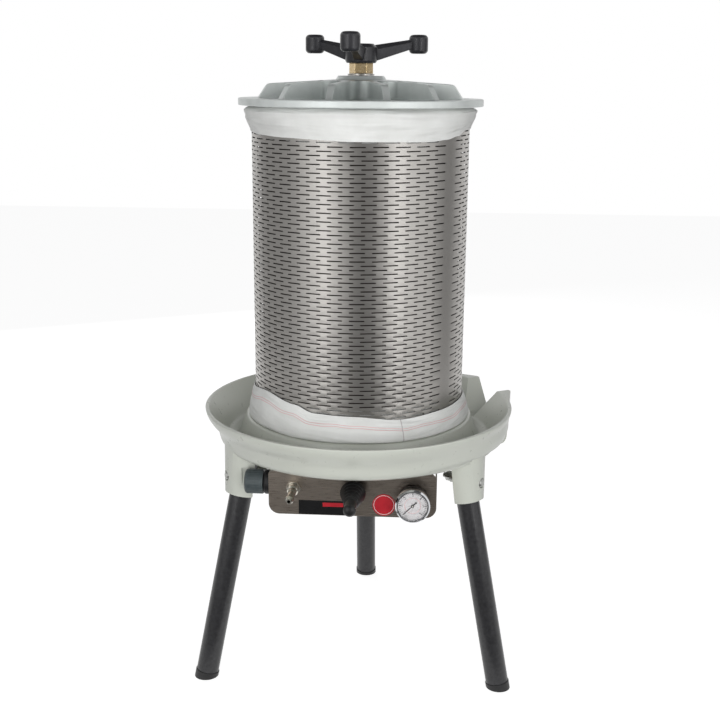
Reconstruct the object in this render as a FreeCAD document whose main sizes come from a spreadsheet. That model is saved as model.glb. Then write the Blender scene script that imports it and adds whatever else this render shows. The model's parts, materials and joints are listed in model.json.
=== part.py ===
# Pneumatic fruit press: a rubber bladder on a centre post swells inside a slotted steel basket
# and squeezes the fruit outwards through a filter bag. Millimetres, +Z up, press axis on the Z
# axis, floor at zero, control panel towards -Y, juice spout towards +X and +Y.
import FreeCAD, Part
import math
import os
import re
import Sketcher

doc = FreeCAD.newDocument("fruit_press")
sheet = doc.addObject("Spreadsheet::Sheet", "Sizes")

# Driving sizes, in millimetres and degrees
driving = {
    # Basket and filter bag
    "basket_radius": 160,
    "basket_wall": 1.5,
    "basket_length": 462,
    "hoop_width": 18,
    "hoop_wall": 1.2,
    "slot_length": 22,
    "slot_height": 3,
    "slot_rows": 16,
    "slots_per_row": 15,
    "slot_margin": 45,
    "seam_angle": -37,
    "seam_width": 36,
    "cloth": 0.8,
    "cloth_gap": 0.4,
    "top_fold_drop": 38,
    "bottom_fold_rise": 34,
    "top_fold_bulge": 9,
    "bottom_fold_bulge": 11,
    "bag_slack": 13,
    # Tray casting
    "plateau_rise": 37,
    "plateau_border": 14,
    "gutter_height": 361,
    "gutter_slope": 13,
    "gutter_width": 16,
    "side_slope": 11,
    "side_rise": 20,
    "rim_flare": 24,
    "rim_rise": 30,
    "rim_width": 5.5,
    "flank_radius": 30,
    "tray_wall": 6,
    "spout_angle": 30,
    "spout_length": 47,
    "spout_end": 102,
    "spout_mouth": 88,
    "spout_floor": 26,
    "spout_round": 12,
    "tray_boss_radius": 22,
    "tray_boss_drop": 12,
    # Legs
    "leg_inset": 11,
    "leg_lean": 12.1,
    "leg_radius": 17,
    "leg_wall": 2,
    "leg_length": 347,
    "leg_fit": 0.2,
    "cap_height": 9,
    "cap_plug": 20,
    "socket_mouth": 298,
    "socket_radius": 24.5,
    "socket_flare": 0.19,
    "socket_depth": 59,
    "socket_cover": 7,
    "bolt_height": 322,
    "bolt_seat": 25.7,
    "bolt_radius": 4,
    "bolt_head_radius": 6.5,
    "bolt_head": 5,
    "bolt_seat_radius": 8,
    "saddle_radius": 8.5,
    "saddle_thickness": 4,
    "leg_nut_flats": 13,
    "leg_nut_height": 8,
    "bolt_tail": 6,
    # Centre post, bladder and its clamps
    "post_radius": 10,
    "post_gap": 3.6,
    "post_bore_gap": 0.5,
    "post_nut_flats": 30,
    "post_nut_height": 14,
    "base_radius": 54,
    "base_thickness": 6,
    "hub_radius": 47.7,
    "hub_length": 14,
    "core_radius": 24,
    "core_wall": 3,
    "bladder_radius": 62,
    "bladder_wall": 4,
    "bladder_gap": 28,
    "bladder_taper": 22,
    "band_width": 9,
    "band_wall": 1.2,
    "port_offset": 34,
    "port_radius": 4,
    # Lid
    "lid_overhang": 19,
    "lid_flange": 10,
    "dome_inset": 8,
    "shoulder_slope": 14,
    "shoulder_rise": 20.5,
    "roof_rise": 26.8,
    "lid_boss_radius": 33.5,
    "lid_boss_rise": 32,
    "rib_count": 12,
    "rib_thickness": 9.6,
    "flute_length": 60,
    "lid_turn": 2,
    "lid_hollow_radius": 54,
    "lid_hollow_depth": 22,
    "lid_hub_radius": 28,
    # Clamping handle
    "washer_radius": 19.5,
    "thrust_thickness": 2.5,
    "lid_gap": 0.3,
    "nut_gap": 0.4,
    "thread_gap": 0.08,
    "nut_flats": 30,
    "nut_height": 15,
    "spigot_radius": 12,
    "spigot_length": 8,
    "hub_outer_radius": 23,
    "hub_height": 27,
    "hub_cover": 6,
    "arm_reach": 90,
    "arm_width": 21,
    "arm_tip_width": 11,
    "barrel_radius": 14,
    "barrel_height": 27,
    "barrel_rise": 14,
    "handle_turn": -96,
    # Control panel
    "panel_left": -120,
    "panel_right": 124,
    "panel_gap": 1.5,
    "panel_height": 69.5,
    "panel_front": -160,
    "panel_depth": 38,
    "panel_sheet": 2,
    "panel_round": 16,
    "panel_nip": 8,
    "panel_screw_radius": 3,
    "panel_screw_offset": 85,
    # Air fittings on the panel
    "regulator_drop": 27.5,
    "regulator_setback": 19,
    "regulator_radius": 17,
    "regulator_length": 50,
    "bonnet_length": 8,
    "bonnet_radius": 18,
    "knob_radius": 18,
    "knob_length": 27,
    "knob_gap": 1.5,
    "knob_ribs": 24,
    "nipple_offset": -83,
    "nipple_radius": 5,
    "nipple_length": 58,
    "nipple_flats": 19,
    "valve_offset": 4,
    "valve_body_size": 30,
    "lever_length": 88,
    "lever_radius": 3,
    "pivot_radius": 1.4,
    "pivot_depth": 7,
    "boot_setback": 5.2,
    "boot_radius": 18.5,
    "gauge_offset": 90,
    "gauge_drop": 13,
    "gauge_radius": 25,
    "gauge_case_radius": 22,
    "gauge_projection": 31,
    "gauge_bezel_depth": 9,
    "gauge_dial_radius": 21.5,
    "pointer_length": 15.5,
    "tube_radius": 4,
    "hose_radius": 5,
    "hose_bend": 40,
    "barb_length": 12,
}

# Sizes that follow from the driving ones, so that every piece keeps its fit when one changes
following = {
    "plateau_radius": "basket_radius + plateau_border",
    "gutter_inner": "plateau_radius + gutter_slope",
    "gutter_outer": "gutter_inner + gutter_width",
    "side_radius": "gutter_outer + side_slope",
    "rim_radius": "side_radius + rim_flare",
    "tray_bottom": "gutter_height - tray_wall",
    "plateau_height": "gutter_height + plateau_rise",
    "side_height": "gutter_height + side_rise",
    "rim_height": "side_height + rim_rise",
    "spout_reach": "gutter_outer + spout_length",
    "socket_face": "(gutter_inner + gutter_outer) / 2 - socket_cover",
    "leg_spread": "(gutter_inner + gutter_outer) / 2 - leg_inset + tan(leg_lean) * tray_bottom",
    "bolt_outer": "leg_spread - tan(leg_lean) * bolt_height + bolt_seat",
    "bolt_grip": "bolt_seat + leg_radius / cos(leg_lean) + saddle_thickness",
    "basket_low": "plateau_height + cloth + cloth_gap",
    "basket_high": "basket_low + basket_length",
    "bag_radius": "basket_radius - bag_slack",
    "bag_top": "basket_high + cloth_gap + cloth",
    "bladder_low": "plateau_height + base_thickness",
    "bladder_high": "bladder_low + basket_length - bladder_gap",
    "lid_low": "bag_top + lid_gap",
    "lid_top": "lid_low + lid_flange",
    "boss_top": "lid_top + lid_boss_rise",
    "nut_low": "boss_top + thrust_thickness + nut_gap",
    "hub_low": "nut_low + nut_height",
    "post_top": "hub_low + hub_height - hub_cover - post_gap",
    "lid_radius": "basket_radius + lid_overhang",
    "dome_base": "basket_radius - dome_inset",
    "shoulder_radius": "dome_base - shoulder_slope",
    "flute_centre": "shoulder_radius - flute_length",
    "panel_top": "tray_bottom - panel_gap",
    "panel_bottom": "panel_top - panel_height",
    "regulator_height": "panel_top - regulator_drop",
}

for row, (alias, value) in enumerate((driving | following).items(), start=1):
    sheet.set(f"A{row}", alias)
    sheet.set(f"B{row}", f"={value}")
    sheet.setAlias(f"B{row}", alias)
doc.recompute()

pieces = []
leg_names = {"left": 210, "right": 330, "rear": 90}


def bind(formula):
    # A formula names sizes of the sheet by their plain words
    known = driving | following
    return re.sub(r"[a-z_]+", lambda word: f"Sizes.{word[0]}" if word[0] in known else word[0], formula)


def size(formula):
    return float(sheet.evalExpression(bind(formula)))


def vector(x, y, z):
    return FreeCAD.Vector(x, y, z)


def turn(axis, angle):
    return FreeCAD.Placement(vector(0, 0, 0), FreeCAD.Rotation(axis, angle))


def shift(x, y, z):
    return FreeCAD.Placement(vector(x, y, z), FreeCAD.Rotation())


along_x = turn(vector(0, 1, 0), 90)
along_minus_x = turn(vector(0, 1, 0), -90)
along_minus_y = turn(vector(1, 0, 0), 90)
along_y = turn(vector(1, 0, 0), -90)
upright = turn(vector(0, 0, 1), 0)


def about_z(angle):
    return turn(vector(0, 0, 1), angle)


def keep(thing, name):
    thing.Label = name
    pieces.append(thing)
    return thing


def new_body(name):
    body = doc.addObject("PartDesign::Body", name)
    body.Label = name
    return body


def origin_plane(body, role):
    return [feature for feature in body.Origin.OriginFeatures if feature.Role == role][0]


def new_sketch(body, name, role, lift="0"):
    sketch = body.newObject("Sketcher::SketchObject", name)
    sketch.AttachmentSupport = (origin_plane(body, role), [""])
    sketch.MapMode = "FlatFace"
    sketch.setExpression(".AttachmentOffset.Base.z", bind(lift))
    return sketch


def arc_centre(start, end, radius):
    # A positive radius has its centre on the left of the way from start to end
    half = (end - start) * 0.5
    rise = math.sqrt(max(radius * radius - half.Length ** 2, 0))
    side = vector(-half.y, half.x, 0).normalize()
    return start + half + side * math.copysign(rise, radius)


def outline(sketch, corners):
    # A corner is two formulas; a third is the radius of the arc that leads from it to the next
    spots = [vector(size(corner[0]), size(corner[1]), 0) for corner in corners]
    ends = []
    for index, corner in enumerate(corners):
        start = spots[index]
        end = spots[(index + 1) % len(spots)]
        if len(corner) < 3:
            sketch.addGeometry(Part.LineSegment(start, end))
            ends.append((1, 2))
            continue
        radius = size(corner[2])
        centre = arc_centre(start, end, radius)
        circle = Part.Circle(centre, vector(0, 0, 1), abs(radius))
        angles = [math.atan2((spot - centre).y, (spot - centre).x) for spot in (start, end)]
        first, last = angles if radius > 0 else angles[::-1]
        sketch.addGeometry(Part.ArcOfCircle(circle, first, last))
        ends.append((1, 2) if radius > 0 else (2, 1))
    for index, corner in enumerate(corners):
        after = (index + 1) % len(corners)
        sketch.addConstraint(Sketcher.Constraint("Coincident", index, ends[index][1], after, ends[after][0]))
        for kind, formula, value in (("DistanceX", corner[0], spots[index].x), ("DistanceY", corner[1], spots[index].y)):
            number = sketch.addConstraint(Sketcher.Constraint(kind, -1, 1, index, ends[index][0], value))
            sketch.setExpression(f"Constraints[{number}]", bind(formula))
        if len(corner) == 3:
            number = sketch.addConstraint(Sketcher.Constraint("Radius", index, abs(size(corner[2]))))
            sketch.setExpression(f"Constraints[{number}]", bind(f"abs({corner[2]})"))


def disc(sketch, x, y, radius):
    circle = sketch.addGeometry(Part.Circle(vector(size(x), size(y), 0), vector(0, 0, 1), size(radius)))
    for constraint, formula in (
        (Sketcher.Constraint("DistanceX", -1, 1, circle, 3, size(x)), x),
        (Sketcher.Constraint("DistanceY", -1, 1, circle, 3, size(y)), y),
        (Sketcher.Constraint("Radius", circle, size(radius)), radius),
    ):
        number = sketch.addConstraint(constraint)
        sketch.setExpression(f"Constraints[{number}]", bind(formula))


def revolve(body, name, corners, kind="Revolution"):
    sketch = new_sketch(body, f"{name}_outline", "XZ_Plane")
    outline(sketch, corners)
    feature = body.newObject(f"PartDesign::{kind}", name)
    feature.Profile = sketch
    feature.ReferenceAxis = (sketch, ["V_Axis"])
    feature.Angle = 360
    doc.recompute()
    return feature


def turned(name, corners, placement=upright):
    body = new_body(name)
    revolve(body, f"{name}_turning", corners)
    body.Placement = placement
    return body


def tube_corners(inner, outer, low, high):
    return [(inner, low), (outer, low), (outer, high), (inner, high)]


def pad(body, name, role, corners, length, lift="0", middle=False, kind="Pad", reverse=False):
    sketch = new_sketch(body, f"{name}_outline", role, lift)
    if isinstance(corners, tuple):
        disc(sketch, *corners)
    else:
        outline(sketch, corners)
    feature = body.newObject(f"PartDesign::{kind}", name)
    feature.Profile = sketch
    feature.setExpression("Length", bind(length))
    feature.SideType = "Symmetric" if middle else "One side"
    feature.Reversed = reverse
    doc.recompute()
    return feature


def padded(name, role, corners, length, lift="0", middle=False, placement=upright):
    body = new_body(name)
    pad(body, f"{name}_pad", role, corners, length, lift, middle)
    body.Placement = placement
    return body


def rounded(body, name, radius, wanted):
    # Rounds every edge of the body's tip that the test wanted accepts
    tip = body.Tip
    edges = [f"Edge{number}" for number, edge in enumerate(tip.Shape.Edges, start=1) if wanted(edge)]
    feature = body.newObject("PartDesign::Fillet", name)
    feature.Base = (tip, edges)
    feature.setExpression("Radius", bind(radius))
    doc.recompute()
    return feature


def ring_test(*rings):
    spots = [(size(radius), size(height)) for radius, height in rings]

    def wanted(edge):
        curve = edge.Curve
        if not isinstance(curve, Part.Circle):
            return False
        centre = curve.Center
        if abs(centre.x) > 0.01 or abs(centre.y) > 0.01:
            return False
        return any(abs(curve.Radius - radius) < 0.01 and abs(centre.z - height) < 0.01 for radius, height in spots)

    return wanted


def cylinder(name, radius, height, placement):
    thing = doc.addObject("Part::Cylinder", name)
    thing.setExpression("Radius", bind(radius))
    thing.setExpression("Height", bind(height))
    thing.Placement = placement
    return thing


def block(name, length, width, height, placement):
    thing = doc.addObject("Part::Box", name)
    thing.setExpression("Length", bind(length))
    thing.setExpression("Width", bind(width))
    thing.setExpression("Height", bind(height))
    thing.Placement = placement
    return thing


def fuse(name, things):
    joined = doc.addObject("Part::MultiFuse", name)
    joined.Shapes = things
    return joined


def cut(name, base, tool):
    rest = doc.addObject("Part::Cut", name)
    rest.Base = base
    rest.Tool = tool
    return rest


def group(name, source, placements):
    # Identical separate solids, one for each placement
    copies = []
    for number, placement in enumerate(placements, start=1):
        copy = doc.addObject("App::Link", f"{name}_{number}")
        copy.LinkedObject = source
        copy.LinkTransform = True
        copy.Placement = placement
        copies.append(copy)
    together = doc.addObject("Part::Compound", name)
    together.Links = copies
    return keep(together, name)


def hexagon(flats, turned_by=0):
    corner = f"({flats}) / 2 / cos(30deg)"
    return [
        (f"{corner} * cos({angle + turned_by}deg)", f"{corner} * sin({angle + turned_by}deg)")
        for angle in range(0, 360, 60)
    ]


# Heights and gaps that several pieces share
panel_back = "panel_front + panel_sheet"
regulator_line = "panel_front + regulator_setback"
gauge_height = "regulator_height - gauge_drop"
leg_azimuths = list(leg_names.values())


# Tray: a shallow bowl with a raised plateau for the basket, a gutter, a spout and three sockets
tray_surface = [
    ("0", "plateau_height"),
    ("plateau_radius", "plateau_height"),
    ("gutter_inner", "gutter_height"),
    ("gutter_outer", "gutter_height"),
    ("side_radius", "side_height"),
    ("rim_radius - rim_width", "rim_height"),
]
plateau_under = "plateau_height - tray_wall"
post_hole = "post_radius + post_bore_gap"


def tray_shell():
    body = new_body("tray_shell")
    revolve(body, "tray_section", [(post_hole, "plateau_height")] + tray_surface[1:] + [
        ("rim_radius", "rim_height"),
        ("rim_radius", "rim_height - rim_width / 2", "-flank_radius"),
        ("side_radius + tray_wall * 1.8", "side_height + tray_wall"),
        ("gutter_outer + tray_wall * 1.8", "tray_bottom + tray_wall * 2.3", "-flank_radius"),
        ("gutter_outer - tray_wall", "tray_bottom"),
        ("gutter_inner - tray_wall", "tray_bottom"),
        ("plateau_radius - tray_wall", plateau_under),
        ("tray_boss_radius", plateau_under),
        ("tray_boss_radius", f"{plateau_under} - tray_boss_drop"),
        (post_hole, f"{plateau_under} - tray_boss_drop"),
    ])
    rounded(body, "tray_inner_rounds", "gutter_width * 0.65", ring_test(
        tray_surface[1], tray_surface[2], tray_surface[3], tray_surface[4]))
    rounded(body, "tray_rim_rounds", "rim_width * 0.3", ring_test(
        ("rim_radius", "rim_height"), ("rim_radius - rim_width", "rim_height")))
    return body


def leg_frame(azimuth):
    # Local Z runs up the leg from the floor, leaning in towards the press axis
    return about_z(azimuth) * shift(size("leg_spread"), 0, 0) * turn(vector(0, 1, 0), -size("leg_lean"))


def bolt_frame(azimuth):
    # Local Z runs inwards and level along the bolt, from the recess in the socket
    return about_z(azimuth) * shift(size("bolt_outer"), 0, size("bolt_height")) * along_minus_x


def socket(azimuth):
    # The socket covers only the outer side of the leg; below the tray its inner side is open
    cone = doc.addObject("Part::Cone", f"socket_{azimuth}")
    cone.setExpression("Radius1", bind("socket_radius"))
    cone.setExpression("Height", bind("socket_depth + 48"))
    cone.setExpression("Radius2", bind("socket_radius + socket_flare * (socket_depth + 48)"))
    cone.Placement = leg_frame(azimuth) * shift(0, 0, size("socket_mouth"))
    side = "socket_radius * 3"
    opening = block(f"socket_opening_{azimuth}", side, f"2 * {side}", "socket_mouth",
                    about_z(azimuth) * shift(size(f"socket_face - {side}"), -size(side), size("tray_bottom - socket_mouth")))
    return cut(f"socket_shell_{azimuth}", cone, opening)


def spout_block():
    # Its sides run tangent from the tray's side to the corners of the end face
    body = new_body("spout_block")
    corner_angle = "atan(spout_end / 2 / spout_reach)"
    corner_radius = "sqrt(spout_reach ^ 2 + spout_end ^ 2 / 4)"
    touch = f"({corner_angle} + acos((side_radius + tray_wall) / {corner_radius}))"
    along = f"(side_radius + tray_wall) * cos({touch})"
    across = f"(side_radius + tray_wall) * sin({touch})"
    pad(body, "spout_plan", "XY_Plane", [
        (along, f"-{across}"),
        ("spout_reach", "-spout_end / 2"),
        ("spout_reach", "spout_end / 2"),
        (along, across),
    ], "rim_height - tray_bottom + 1", lift="tray_bottom - 1")
    reach = size("spout_reach")
    low = size("tray_bottom - 1")

    def upright_corner(edge):
        box = edge.BoundBox
        return box.ZLength > 1 and box.XMin > reach - 0.01

    rounded(body, "spout_corners", "spout_round / 3", upright_corner)
    rounded(body, "spout_bottom", "spout_round", lambda edge: (
        edge.BoundBox.ZMax < low + 0.01 and edge.BoundBox.XMax > size(along) + 0.01))
    revolve(body, "spout_inner_side", [
        ("0", "tray_bottom - 2"),
        ("gutter_outer - 2", "tray_bottom - 2"),
        ("gutter_outer - 2", "rim_height + 2"),
        ("0", "rim_height + 2"),
    ], kind="Groove")
    body.Placement = about_z(size("spout_angle"))
    return body


def spout_notch():
    half = "spout_mouth / 2"
    floor = "gutter_height - 0.5"
    start = "gutter_outer - 4"
    length = "spout_length + 30"
    notch = padded("spout_notch", "YZ_Plane", [
        (f"-{half}", "rim_height + 20"),
        (f"-{half}", "rim_height - rim_width"),
        ("-spout_floor / 2", floor),
        ("spout_floor / 2", floor),
        (half, "rim_height - rim_width"),
        (half, "rim_height + 20"),
    ], length, lift=start)
    level = size(floor)
    span = size(length)
    rounded(notch, "spout_notch_rounds", "spout_round", lambda edge: (
        abs(edge.BoundBox.ZMax - level) < 0.01 and abs(edge.BoundBox.XLength - span) < 0.01))
    notch.Placement = about_z(size("spout_angle"))
    return notch


def tray():
    space = turned("tray_space", tray_surface + [
        ("rim_radius - rim_width", "rim_height + 60"),
        ("0", "rim_height + 60"),
    ])
    panel_bosses = [
        cylinder(f"panel_boss_{side}", "panel_screw_radius + 5", "plateau_height - tray_wall + 2 - panel_top",
                 shift(panel_screw_x(side), size("panel_front + panel_depth / 2"), size("panel_top")))
        for side in (-1, 1)
    ]
    added = cut("tray_added", fuse("tray_bosses", [socket(a) for a in leg_azimuths] + [spout_block()]), space)
    drilled = [spout_notch()]
    drilled += [
        cylinder(f"leg_bore_{a}", "leg_radius + leg_fit", "socket_depth + 20",
                 leg_frame(a) * shift(0, 0, size("socket_mouth - 20")))
        for a in leg_azimuths
    ]
    drilled += [
        cylinder(f"bolt_hole_{a}", "bolt_radius + leg_fit", "bolt_seat + 10", bolt_frame(a) * shift(0, 0, -10))
        for a in leg_azimuths
    ]
    drilled += [
        cylinder(f"outer_seat_{a}", "bolt_seat_radius", "20", bolt_frame(a) * shift(0, 0, -20))
        for a in leg_azimuths
    ]
    drilled += [
        cylinder(f"panel_thread_{side}", "panel_screw_radius", "14",
                 shift(panel_screw_x(side), size("panel_front + panel_depth / 2"), size("panel_top - 1")))
        for side in (-1, 1)
    ]
    drilled.append(cylinder("knob_clearance", "knob_radius + 2.5", "bonnet_length + knob_length + 6",
                            shift(size("panel_left - 2"), size(regulator_line), size("regulator_height")) * along_minus_x))
    drilled.append(cylinder("air_hole", "port_radius + leg_fit", "tray_wall + 4",
                            shift(size("valve_offset"), -size("port_offset"), size(f"{plateau_under} - 2"))))
    solid = fuse("tray_solid", [tray_shell(), added] + panel_bosses)
    keep(cut("tray", solid, fuse("tray_drillings", drilled)), "tray")


def panel_screw_x(side):
    return size("(panel_left + panel_right) / 2") + side * size("panel_screw_offset")


def leg(name, azimuth):
    tube = turned(f"leg_tube_{name}", tube_corners("leg_radius - leg_wall", "leg_radius", "cap_height", "cap_height + leg_length"),
                  leg_frame(azimuth))
    hole = cylinder(f"leg_hole_{name}", "bolt_radius + leg_fit", "bolt_grip + 1", bolt_frame(azimuth))
    keep(cut(f"leg_{name}_drilled", tube, hole), f"leg_{name}")
    cap = turned(f"foot_cap_{name}_turned", [
        ("0", "-leg_radius / 2"),
        ("leg_radius + 1", "-leg_radius / 2"),
        ("leg_radius + 1", "cap_height"),
        ("leg_radius - leg_wall - leg_fit", "cap_height"),
        ("leg_radius - leg_wall - leg_fit", "cap_height + cap_plug"),
        ("0", "cap_height + cap_plug"),
    ], leg_frame(azimuth))
    floor = block(f"floor_{name}", "leg_radius * 4", "leg_radius * 4", "leg_radius",
                  about_z(azimuth) * shift(size("leg_spread - leg_radius * 2"), -size("leg_radius * 2"), -size("leg_radius")))
    keep(cut(f"foot_cap_{name}", cap, floor), f"foot_cap_{name}")


def leg_fasteners():
    bolt = turned("leg_bolt", [
        ("0", "-bolt_head"),
        ("bolt_head_radius - 2", "-bolt_head"),
        ("bolt_head_radius", "2 - bolt_head"),
        ("bolt_head_radius", "0"),
        ("bolt_radius", "0"),
        ("bolt_radius", "bolt_grip + leg_nut_height + bolt_tail - 1"),
        ("bolt_radius - 1", "bolt_grip + leg_nut_height + bolt_tail"),
        ("0", "bolt_grip + leg_nut_height + bolt_tail"),
    ])
    group("leg_bolts", bolt, [bolt_frame(a) for a in leg_azimuths])
    # The saddle washer is flat under the nut and hollowed to sit on the leaning tube
    blank = turned("saddle_blank", tube_corners(
        "bolt_radius + leg_fit", "saddle_radius", "bolt_grip - saddle_thickness * 2.5", "bolt_grip"))
    first = leg_azimuths[0]
    tube = cylinder("saddle_hollow", "leg_radius + 0.02", "leg_length", bolt_frame(first).inverse() * leg_frame(first))
    washer = cut("saddle_washer", blank, tube)
    group("leg_washers", washer, [bolt_frame(a) for a in leg_azimuths])
    nut = padded("leg_nut", "XY_Plane", hexagon("leg_nut_flats", 30), "leg_nut_height", lift="bolt_grip")
    pad(nut, "leg_nut_thread", "XY_Plane", ("0", "0", "bolt_radius + thread_gap"), "leg_nut_height",
        lift="bolt_grip", kind="Pocket", reverse=True)
    group("leg_nuts", nut, [bolt_frame(a) for a in leg_azimuths])


# Centre post and the bladder that it carries
under_nut_top = f"{plateau_under} - tray_boss_drop"


def post_and_bladder():
    keep(turned("center_post", [
        ("0", f"{under_nut_top} - post_nut_height - 6"),
        ("post_radius", f"{under_nut_top} - post_nut_height - 6"),
        ("post_radius", "post_top - 2"),
        ("post_radius - 2", "post_top"),
        ("0", "post_top"),
    ]), "center_post")
    for name, low in (("post_nut_lower", f"{under_nut_top} - post_nut_height"), ("post_nut_upper", "bladder_high + base_thickness")):
        nut = padded(name, "XY_Plane", hexagon("post_nut_flats"), "post_nut_height", lift=low)
        pad(nut, f"{name}_thread", "XY_Plane", ("0", "0", "post_radius + thread_gap"), "post_nut_height",
            lift=low, kind="Pocket", reverse=True)
        keep(nut, name)
    for name, low, way in (("bladder_base", "plateau_height", "1"), ("bladder_cap", "bladder_high + base_thickness", "-1")):
        inner = f"{low} + base_thickness * {way}"
        hub = f"{inner} + hub_length * {way}"
        plate = turned(f"{name}_plate", [
            (post_hole, low),
            ("base_radius", low),
            ("base_radius", inner),
            ("hub_radius", inner),
            ("hub_radius", hub),
            (post_hole, hub),
        ])
        if name == "bladder_cap":
            keep(plate, name)
            continue
        hole = cylinder("base_air_hole", "port_radius + leg_fit", "base_thickness + hub_length + 2",
                        shift(size("valve_offset"), -size("port_offset"), size("plateau_height - 1")))
        keep(cut(name, plate, hole), name)
    keep(turned("core_tube", tube_corners(
        "core_radius - core_wall", "core_radius", "bladder_low + hub_length", "bladder_high - hub_length")), "core_tube")
    neck = "hub_radius + 0.3"
    keep(turned("bladder", [
        (neck, "bladder_low"),
        (f"{neck} + bladder_wall", "bladder_low"),
        (f"{neck} + bladder_wall", "bladder_low + hub_length"),
        ("bladder_radius", "bladder_low + hub_length + bladder_taper"),
        ("bladder_radius", "bladder_high - hub_length - bladder_taper"),
        (f"{neck} + bladder_wall", "bladder_high - hub_length"),
        (f"{neck} + bladder_wall", "bladder_high"),
        (neck, "bladder_high"),
        (neck, "bladder_high - hub_length"),
        ("bladder_radius - bladder_wall", "bladder_high - hub_length - bladder_taper"),
        ("bladder_radius - bladder_wall", "bladder_low + hub_length + bladder_taper"),
        (neck, "bladder_low + hub_length"),
    ]), "bladder")
    band_inner = f"{neck} + bladder_wall + 0.1"
    for name, low in (("clamp_band_lower", "bladder_low + 3"), ("clamp_band_upper", "bladder_high - 3 - band_width")):
        band = turned(f"{name}_strip", tube_corners(band_inner, f"{band_inner} + band_wall", low, f"{low} + band_width"))
        housing = block(f"{name}_screw", "18", "band_wall * 5", "band_width + 2",
                        shift(-9, size(f"{band_inner} + band_wall / 2"), size(f"{low} - 1")))
        keep(fuse(name, [band, housing]), name)


# Basket: a rolled slotted sheet with a plain seam and a hoop inside each end
def basket():
    sheet_ring = turned("basket_sheet", tube_corners("basket_radius - basket_wall", "basket_radius", "basket_low", "basket_high"))
    rows = int(size("slot_rows"))
    count = int(size("slots_per_row"))
    pitch = (size("basket_length") - 2 * size("slot_margin")) / (rows - 1)
    first = size("basket_low") + size("slot_margin")
    free = 360 - math.degrees(size("seam_width") / size("basket_radius"))
    step = free / count
    tool = Part.makeBox(size("basket_wall") * 6, size("slot_length"), size("slot_height"),
                        vector(size("basket_radius - basket_wall * 4"), -size("slot_length") / 2, -size("slot_height") / 2))
    slots = []
    for row in range(rows):
        stagger = 0.25 if row % 2 else -0.25
        for index in range(count):
            angle = size("seam_angle") + (360 - free) / 2 + step * (index + 0.5 + stagger)
            slot = tool.copy()
            slot.Placement = shift(0, 0, first + row * pitch) * about_z(angle)
            slots.append(slot)
    slot_tool = doc.addObject("Part::Feature", "basket_slots")
    slot_tool.Shape = Part.makeCompound(slots)
    keep(cut("basket", sheet_ring, slot_tool), "basket")
    inner = "basket_radius - basket_wall"
    for name, low in (("hoop_lower", "basket_low"), ("hoop_upper", "basket_high - hoop_width")):
        keep(turned(name, tube_corners(f"{inner} - hoop_wall", inner, low, f"{low} + hoop_width")), name)


def filter_bag():
    # One closed skin: slack inside the basket, turned out over both rims and hanging outside
    inside = "basket_radius - basket_wall - hoop_wall - cloth_gap"
    outside = "basket_radius + cloth_gap"
    low = "plateau_height"
    fold_low = "basket_low + bottom_fold_rise"
    fold_high = "basket_high - top_fold_drop"
    bend_low = "basket_low + hoop_width + 6"
    bend_high = "basket_high - hoop_width - 6"
    slack_low = f"{bend_low} + bag_slack * 2"
    slack_high = f"{bend_high} - bag_slack * 2"
    keep(turned("filter_bag", [
        (f"{inside} - cloth", low),
        (f"{outside} + cloth", low),
        (f"{outside} + bottom_fold_bulge", f"{low} + 6"),
        (f"{outside} + bottom_fold_bulge", f"{low} + 14"),
        (f"{outside} + cloth", f"{fold_low} - 6"),
        (f"{outside} + cloth", fold_low),
        (outside, fold_low),
        (outside, f"{low} + cloth"),
        (inside, f"{low} + cloth"),
        (inside, bend_low),
        ("bag_radius", slack_low),
        ("bag_radius", slack_high),
        (inside, bend_high),
        (inside, "bag_top - cloth"),
        (outside, "bag_top - cloth"),
        (outside, fold_high),
        (f"{outside} + cloth", fold_high),
        (f"{outside} + cloth", f"{fold_high} + 8"),
        (f"{outside} + top_fold_bulge", "bag_top - 12"),
        (f"{outside} + top_fold_bulge", "bag_top - 5"),
        (f"{outside} + cloth", "bag_top"),
        (f"{inside} - cloth", "bag_top"),
        (f"{inside} - cloth", bend_high),
        ("bag_radius - cloth", slack_high),
        ("bag_radius - cloth", slack_low),
        (f"{inside} - cloth", bend_low),
    ]), "filter_bag")


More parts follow.
